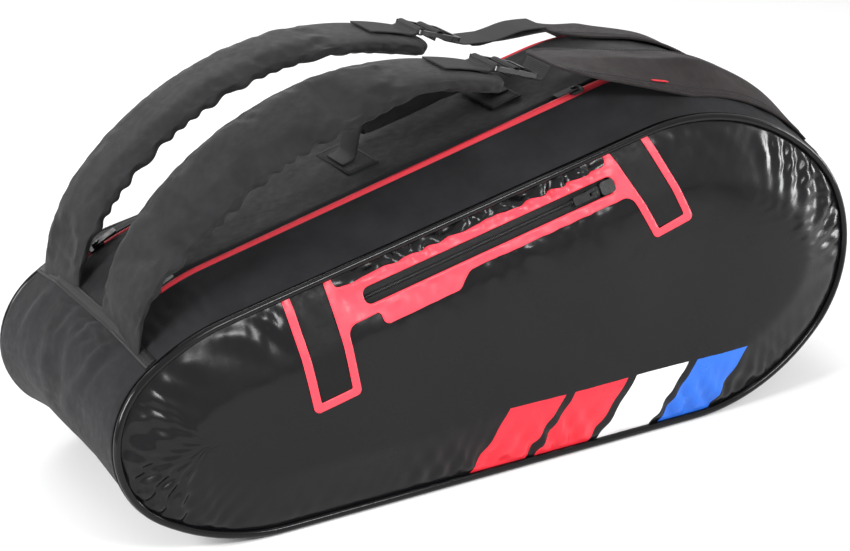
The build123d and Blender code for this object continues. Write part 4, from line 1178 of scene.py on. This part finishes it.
# %% Folded tag on the wing
TAG_X, TAG_COLUMN = 172, 26
tag_points = wing_sheets["front"][0]
row = int(np.abs(tag_points[:, TAG_COLUMN - 1, 0] - TAG_X).argmin())
here, there = tag_points[row, TAG_COLUMN], tag_points[row + 5, TAG_COLUMN]
run = unit(there - here)
lift = np.array([-run[2], 0, run[0]])
tag_path = [here + lift * rise + run * ahead for rise, ahead in ((1.5, 0), (1.7, 8), (1.9, 18))]
tag = band("red_tag", smooth_path(tag_path), 5.0, 0.9)
print("tag at", np.round(here, 1))

# %% [markdown]
# ## Finishes
#
# Every finish is a small node tree on the standard surface shader.  Cloth is woven: two sets of fine
# waves cross, and they read the cloth map on new pieces or the object's own axes on carried-over
# ones.  Plain numbers that hold all over a surface are set on the shader itself.

# %% Node helpers
class Finish:
    """A material with one surface shader; small helpers add nodes and join them."""

    def __init__(self, name, colour, roughness, specular=0.5, **sockets):
        self.material = bpy.data.materials.new(name)
        self.material.use_nodes = True
        self.tree = self.material.node_tree
        self.shader = self.tree.nodes["Principled BSDF"].inputs
        sockets.update(Base_Color=colour, Roughness=roughness, Specular_IOR_Level=specular)
        for socket, value in sockets.items():
            self.feed(self.shader[socket.replace("_", " ")], value)
        self.place = self.node("ShaderNodeTexCoord", "Object")
        self.relief = None

    def feed(self, socket, value):
        """Links another node's output to a socket, or sets a plain number or colour on it."""
        if isinstance(value, bpy.types.NodeSocket):
            self.tree.links.new(value, socket)
        else:
            socket.default_value = (*value, 1) if isinstance(value, tuple) else value

    def node(self, kind, output, inputs=None, **settings):
        """Adds a node with its settings and inputs and gives one of its outputs."""
        made = self.tree.nodes.new(kind)
        for name, value in settings.items():
            setattr(made, name, value)
        for socket, value in (inputs or {}).items():
            self.feed(made.inputs[socket], value)
        return made.outputs[output]

    def source(self, on_cloth):
        """Places along the cloth from the piece's own map, or along the object's axes."""
        return self.node("ShaderNodeUVMap", "UV", uv_map="cloth") if on_cloth else self.place

    def noise(self, scale, detail=4.0, distortion=0.0):
        """Soft noise: scale is the number of blobs in a metre."""
        return self.node("ShaderNodeTexNoise", "Fac", {
            "Vector": self.place, "Scale": scale, "Detail": detail, "Distortion": distortion})

    def wave(self, source, pitch, direction):
        """Bands a pitch apart, in millimetres, along one direction."""
        return self.node("ShaderNodeTexWave", "Fac", {"Vector": source, "Scale": 0.314 / (pitch * MM)},
                         wave_type="BANDS", bands_direction=direction)

    def math(self, operation, a, b, clamp=False):
        """One step of arithmetic."""
        return self.node("ShaderNodeMath", "Value", {0: a, 1: b}, operation=operation, use_clamp=clamp)

    def remap(self, source, low, high, to_low, to_high):
        """Moves the range low to high onto another range and keeps to it."""
        ends = {"From Min": low, "From Max": high, "To Min": to_low, "To Max": to_high}
        return self.node("ShaderNodeMapRange", "Result", {"Value": source, **ends}, clamp=True)

    def blend(self, mask, first, second):
        """The first colour where the mask is 0 and the second where it is 1."""
        return self.node("ShaderNodeMix", 2, {"Factor": mask, 6: first, 7: second}, data_type="RGBA")

    def paint(self, colour):
        """Uses a colour that changes over the surface."""
        self.feed(self.shader["Base Color"], colour)

    def rough(self, value):
        """Uses a roughness that changes over the surface."""
        self.feed(self.shader["Roughness"], value)

    def bump(self, height, millimetres, strength=1.0):
        """Adds relief: the height times a depth, on top of any relief already there."""
        inputs = {"Height": height, "Distance": millimetres * MM, "Strength": strength}
        if self.relief is not None:
            inputs["Normal"] = self.relief
        self.relief = self.node("ShaderNodeBump", "Normal", inputs)
        self.feed(self.shader["Normal"], self.relief)
        return self


def shades(colour, low, high):
    """Two versions of a colour, darker and lighter."""
    return tuple(c * low for c in colour), tuple(min(1.0, c * high) for c in colour)


def woven(name, colour, pitch, depth, roughness=0.8, on_cloth=True, sheen=0.15):
    """Cloth: two crossing sets of threads, faded here and there by soft noise, with painted shade in the
    gaps between the threads.
    """
    finish = Finish(name, colour, roughness, 0.12, Sheen_Weight=sheen, Sheen_Roughness=0.4)
    source = finish.source(on_cloth)
    warp, weft = (finish.wave(source, pitch, direction) for direction in ("X", "Y" if on_cloth else "Z"))
    threads = finish.math("MAXIMUM", warp, weft)
    faded = finish.remap(finish.noise(25.0, 5.0), 0.35, 0.7, 0.0, 1.0)
    base = finish.blend(faded, *shades(colour, 0.78, 1.3))
    # painted shade: where neither set of threads is high, the colour is darkened towards a third of itself
    gaps = finish.math("SUBTRACT", 0.55, finish.math("MULTIPLY", threads, 0.55), True)
    finish.paint(finish.blend(gaps, base, shades(colour, 0.35, 1.0)[0]))
    finish.rough(finish.remap(finish.noise(140.0, 2.0), 0.3, 0.7, roughness - 0.08, roughness + 0.08))
    return finish.bump(threads, depth).bump(finish.noise(60.0, 6.0), 0.5, 0.6)


def ribbed(name, colour, pitch, depth, roughness=0.6, specular=0.2, on_cloth=True):
    """Tape: fine ribs across its width, with painted shade in the hollows between the ribs and a colour that
    varies at random along the rib tops.
    """
    finish = Finish(name, colour, roughness, specular)
    ribs = finish.wave(finish.source(on_cloth), pitch, "X")
    rib_shade_and_tone = finish.math("MULTIPLY", ribs, finish.noise(220.0, 3.0))
    # painted shade: the hollows between ribs always take the darker colour; on the rib tops a noise varies
    # the tone at random
    finish.paint(finish.blend(rib_shade_and_tone, *shades(colour, 0.8, 1.15)))
    return finish.bump(ribs, depth).bump(finish.noise(900.0, 2.0), 0.1)


def moulded(name, colour, roughness, specular=0.5, grain=1200.0, depth=0.04):
    """Hard plastic or lacquer: slight colour change, and roughness that a fine noise breaks up."""
    finish = Finish(name, colour, roughness, specular)
    finish.paint(finish.blend(finish.noise(90.0, 4.0), *shades(colour, 0.85, 1.2)))
    finish.rough(finish.remap(finish.noise(160.0, 5.0), 0.3, 0.7, roughness * 0.75, roughness * 1.3))
    return finish.bump(finish.noise(grain, 3.0), depth)


print("shades of grey", shades((0.5, 0.5, 0.5), 0.8, 1.2))

# %% [markdown]
# ## The coated side sheet
#
# The coating is nearly black and glossy, so what is seen is mostly highlights.  Soft creases and a
# fine grain break the highlights up.  A row of four slanted bars is printed low on the front: they
# are worked out from the object's own axes, with sharp edges, and keep the sheet's gloss.

# %% Coated sheet
BLACK, CORAL = (0.0035, 0.0035, 0.0042), (0.87, 0.048, 0.075)
BAR_COLOURS = ((0.76, 0.026, 0.045), (0.76, 0.026, 0.045), (0.80, 0.80, 0.80), (0.024, 0.14, 0.62))
BAR_START, BAR_STEP, BAR_WIDTH, BAR_TOP, BAR_SLANT = -0.055, 0.068, 0.058, 0.066, 0.62


def coated(name, with_bars):
    """Glossy coated cloth: creases at two sizes and a fine grain, all as relief."""
    finish = Finish(name, BLACK, 0.24, 0.22)
    colour = finish.blend(finish.noise(12.0, 6.0), *shades(BLACK, 0.8, 1.35))
    if with_bars:
        x, z = (finish.node("ShaderNodeSeparateXYZ", axis, {"Vector": finish.place}) for axis in "XZ")
        slant = finish.math("ADD", x, finish.math("MULTIPLY", z, -BAR_SLANT))
        low = finish.math("LESS_THAN", z, BAR_TOP)
        for number, bar_colour in enumerate(BAR_COLOURS):
            start = BAR_START + BAR_STEP * number
            after, before = (finish.math(*step) for step in (("GREATER_THAN", slant, start),
                                                             ("LESS_THAN", slant, start + BAR_WIDTH)))
            mask = finish.math("MULTIPLY", finish.math("MULTIPLY", after, before), low)
            colour = finish.blend(mask, colour, bar_colour)
    finish.paint(colour)
    finish.rough(finish.remap(finish.noise(30.0, 6.0), 0.3, 0.72, 0.15, 0.32))
    finish.bump(finish.noise(14.0, 3.0, 0.6), 1.6, 0.5)
    return finish.bump(finish.noise(70.0, 5.0), 0.3, 0.5).bump(finish.noise(1500.0, 2.0), 0.02)


finishes = {
    "tarpaulin": coated("coated_black", False),
    "tarpaulin_front": coated("coated_front", True),
    "polyester": woven("wall_cloth", (0.0145, 0.0145, 0.016), 0.9, 0.12, 0.7, sheen=0.04),
    "binding": ribbed("seam_binding", (0.006, 0.006, 0.0065), 0.8, 0.1, 0.45, 0.3),
    "piping": moulded("piping_black", (0.003, 0.003, 0.0035), 0.12, 0.22),
    "foam": moulded("foam_grey", (0.05, 0.05, 0.05), 0.9, 0.2, 400.0, 0.4),
    "lining": woven("lining_cloth", (0.03, 0.03, 0.032), 0.6, 0.08, 0.6, on_cloth=False),
    "board": moulded("board_black", (0.012, 0.012, 0.012), 0.6),
    "zip_tape": ribbed("zip_tape_red", (0.87, 0.062, 0.088), 1.1, 0.1),
    "zip_tape_cad": ribbed("pocket_tape_black", (0.009, 0.009, 0.01), 1.0, 0.12, on_cloth=False),
    "red_coil": moulded("coil_red", (0.82, 0.05, 0.075), 0.45, 0.3),
    "black_coil": moulded("coil_black", (0.01, 0.01, 0.011), 0.35),
    "zip_metal": moulded("lacquered_metal", (0.006, 0.006, 0.007), 0.4, 0.25),
    "red_trim": moulded("coral_film", CORAL, 0.42, 0.4, 700.0, 0.05),
    "patch": moulded("patch_black", (0.0055, 0.0055, 0.006), 0.5, 0.15, 800.0, 0.1),
    "gloss_black": moulded("buckle_black", (0.012, 0.012, 0.013), 0.25, 0.6),
    "strap_cover": woven("strap_cloth", (0.0155, 0.0155, 0.0165), 0.7, 0.1, 0.66, sheen=0.06),
    "webbing": ribbed("webbing_black", (0.013, 0.0125, 0.013), 1.6, 0.25),
    "wing": woven("wing_cloth", (0.0225, 0.018, 0.0185), 0.8, 0.12, 0.76, sheen=0.05),
    "grip": woven("grip_cloth", (0.0145, 0.0145, 0.0155), 0.7, 0.1, 0.7, sheen=0.05),
    "thread": ribbed("thread_black", (0.016, 0.016, 0.017), 0.5, 0.05, 0.5, 0.3, on_cloth=False),
    "tag": ribbed("tag_red", (0.66, 0.03, 0.045), 0.8, 0.1),
}
print("finishes", len(finishes))

# %% [markdown]
# ## Dressing the frame
#
# Each new piece takes its finish and names the solids it stands for, if any, and most ride on a body. The
# pads, wings, wing threads, tag and handle legs get no body; their transforms are baked into their meshes.

# %% Bodies, replacements and finishes
def dress(piece, finish, body=None, replaces=()):
    """Gives a piece its finish, its body and the solids that it stands for."""
    piece.data.materials.clear()
    piece.data.materials.append(finishes[finish].material)
    if replaces:
        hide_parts(*replaces)
    if body:
        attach(piece, body)
    return piece


FOOT, KNEE = (77, 4.5), (66, 24)


def span(piece):
    """Bakes the piece's transform into its mesh."""
    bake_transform(piece)


for sheet, wall_size in ((front_cover, 1.4), (back_cover, 1.4), (gusset_cover, 1.6), (top_front, 1.6),
                         (top_middle, 1.6), (top_back, 1.6)):
    thicken(sheet, wall_size)
for piece, finish, slot, nodes in (
    (front_cover, "tarpaulin_front", "tarpaulin", "front_panel front_foam"),
    (back_cover, "tarpaulin", "tarpaulin", "back_panel back_foam"),
    (gusset_cover, "polyester", "polyester", "gusset"),
    (top_front, "polyester", "polyester", "top_strip_front"),
    (top_middle, "polyester", "polyester", "top_strip_centre"),
    (top_back, "polyester", "polyester", "top_strip_back"),
    (heel_band, "binding", "binding", "heel_seam_binding"),
    (head_band, "binding", "binding", "head_seam_binding"),
    (heel_thread, "thread", "binding", ""),
    (head_thread, "thread", "binding", ""),
    (front_tapes, "zip_tape", "zip_tape", "front_zip_tapes"),
    (back_tapes, "zip_tape", "zip_tape", "back_zip_tapes"),
    (front_teeth, "red_coil", "red_coil", "front_zip_coil"),
    (back_teeth, "red_coil", "red_coil", "back_zip_coil"),
    (red_trim, "red_trim", "red_trim", "pocket_trim"),
    (patches[0], "patch", "patch", "left_strap_patch"),
    (patches[1], "patch", "patch", "right_strap_patch"),
    (pocket_teeth, "black_coil", "black_coil", "pocket_zip_coil"),
    (anchors[0], "grip", "webbing", "handle_anchors"),
    (anchors[1], "grip", "webbing", ""),
    (anchor_threads[0], "thread", "webbing", ""),
    (anchor_threads[1], "thread", "webbing", ""),
):
    dress(piece, finish, "bag", nodes.split())
for sign, leg, nodes in ((-1, legs[0], ("handle_webbing",)), (1, legs[1], ())):
    dress(leg, "webbing", replaces=nodes)
    foot, knee = on_top([(sign * x, 0, z) for x, z in (FOOT, KNEE)]) * MM
    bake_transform(leg)
dress(grip, "grip", "handle", ("handle_grip",))
wing_nodes = {"front": ("front_wing_root", "front_wing_flap"), "back": ("back_wing_root",)}
for side, name, _ in STRAPS:
    pad, wing, run = pads[name], wings[name], runs[name]
    dress(pad, "strap_cover",
          replaces=(f"{name}_strap_root", f"{name}_strap_pad", f"{name}_strap_foam"))
    span(pad)
    dress(tabs[name], "webbing", f"strap_{name}", (f"{name}_buckle_tab",))
    dress(loops[name], "webbing", f"buckle_{name}", (f"{name}_webbing_loop",))
    dress(run[0], "webbing", f"strap_{name}", (f"{name}_webbing",))
    for tail in run[1:]:
        dress(tail, "webbing", f"strap_{name}")
    dress(wing, "wing", replaces=wing_nodes[name])
    dress(wing_threads[name], "thread")
    for piece in (wing, wing_threads[name]):
        span(piece)
dress(tag, "tag")
span(tag)
print("new pieces dressed; handle legs bend from", FOOT, "to", KNEE)

# %% [markdown]
# ## The solids that stay
#
# Piping, linings, boards, buckles and the zips' metal parts are already right in the frame, so they
# keep their own solids and only take a finish.

# %% Finishes of the solids that stay
KEPT = {"piping": ("front_piping", "back_piping"), "lining": ("front_lining", "back_lining"),
        "board": ("base_board", "compartment_divider"), "patch": ("pocket_pouch",),
        "zip_tape_cad": ("pocket_zip_tapes",),
        "gloss_black": ("front_buckle", "back_buckle", "pocket_zip_garage")}
METAL = [name for name in frame["nodes"] if "slider" in name or "pull" in name or "stops" in name]
for finish, names in {**KEPT, "zip_metal": METAL}.items():
    for name in names:
        frame["nodes"][name].data.materials.clear()
        frame["nodes"][name].data.materials.append(finishes[finish].material)
print("kept solids dressed", sum(len(names) for names in KEPT.values()) + len(METAL))

# %% [markdown]
# ## Floor and world
#
# The bag stands on a wide plain pale floor.  The world is white to the camera and in reflections
# and dimmer as a lamp, so that dark cloth keeps its colour.

# %% Floor and world
floor_corners = [(x * 9000, y * 9000, -0.6) for x, y in ((-1, -1), (1, -1), (1, 1), (-1, 1))]
floor = add_mesh("floor", floor_corners, [[0, 1, 2, 3]])
floor.data.materials.append(Finish("pale_floor", (0.93, 0.93, 0.93), 0.9, 0.1).material)

world = bpy.data.worlds.new("soft_sky")
bpy.context.scene.world = world
world.use_nodes = True
nodes, links = world.node_tree.nodes, world.node_tree.links
background = nodes["Background"].inputs
background["Color"].default_value = (1, 1, 1, 1)
rays = nodes.new("ShaderNodeLightPath").outputs
seen = rays["Is Camera Ray"]
for ray in ("Is Glossy Ray", "Is Transmission Ray"):
    either = nodes.new("ShaderNodeMath")
    either.operation = "MAXIMUM"
    links.new(seen, either.inputs[0])
    links.new(rays[ray], either.inputs[1])
    seen = either.outputs["Value"]
level = nodes.new("ShaderNodeMapRange")
level.inputs["To Min"].default_value, level.inputs["To Max"].default_value = 0.42, 1.0
links.new(seen, level.inputs["Value"])
links.new(level.outputs["Result"], background["Strength"])
print("world strength as a lamp", round(level.inputs["To Min"].default_value, 2))

# %% [markdown]
# ## Lamps and camera
#
# Each lamp is a soft rectangle that looks at the bag.  A long low one in front draws the highlights
# on the coated sheet, and one at each end lights the gusset and the puckers.  The camera stands to
# the left of the front, a little above the bag, with a long lens.

# %% Lamps and camera
def aim(thing, place, target, roll=0.0):
    """Turns a lamp or camera at a place so that its -Z axis points at the target."""
    back = unit(np.subtract(place, target))
    right = unit(np.cross((0, 0, 1.0), back))
    up = np.cross(back, right)
    c, s = math.cos(roll), math.sin(roll)
    matrix = np.eye(4)
    matrix[:3] = np.stack([c * right + s * up, c * up - s * right, back, np.array(place) * MM], 1)
    thing.matrix_world = matrix.T.tolist()


def soft_lamp(name, place, size, power):
    """A rectangular lamp aimed at the bag."""
    light = bpy.data.lights.new(name, "AREA")
    light.shape, light.size, light.size_y, light.energy = "RECTANGLE", *size, power
    lamp = bpy.data.objects.new(name, light)
    bpy.context.scene.collection.objects.link(lamp)
    aim(lamp, place, (0, 0, 150))


soft_lamp("key_lamp", (380, -1750, 1380), (0.9, 0.32), 30.0)
soft_lamp("top_lamp", (300, 300, 2200), (1.1, 0.9), 9.0)
soft_lamp("heel_lamp", (-1850, -350, 950), (0.6, 0.8), 46.0)
soft_lamp("head_lamp", (1950, -720, 470), (0.3, 0.8), 22.0)
soft_lamp("back_lamp", (-200, 1800, 1300), (1.4, 0.6), 18.0)

AZIMUTH, ELEVATION, ROLL = np.radians([-29.7, 22.3, -0.5])
DISTANCE, LOOK_AT = 2058.0, np.array([-12.5, 0.0, 138.7])
towards_camera = np.array([math.sin(AZIMUTH) * math.cos(ELEVATION),
                           -math.cos(AZIMUTH) * math.cos(ELEVATION), math.sin(ELEVATION)])
lens = bpy.data.cameras.new("main_camera")
lens.sensor_width, lens.lens, lens.clip_end = 36.0, 94.10824, 50.0
camera = bpy.data.objects.new("main_camera", lens)
bpy.context.scene.collection.objects.link(camera)
aim(camera, LOOK_AT + towards_camera * DISTANCE, LOOK_AT, ROLL)
bpy.context.scene.camera = camera
bpy.context.scene.view_settings.view_transform = "Standard"
print("camera at", np.round(LOOK_AT + towards_camera * DISTANCE), "mm")
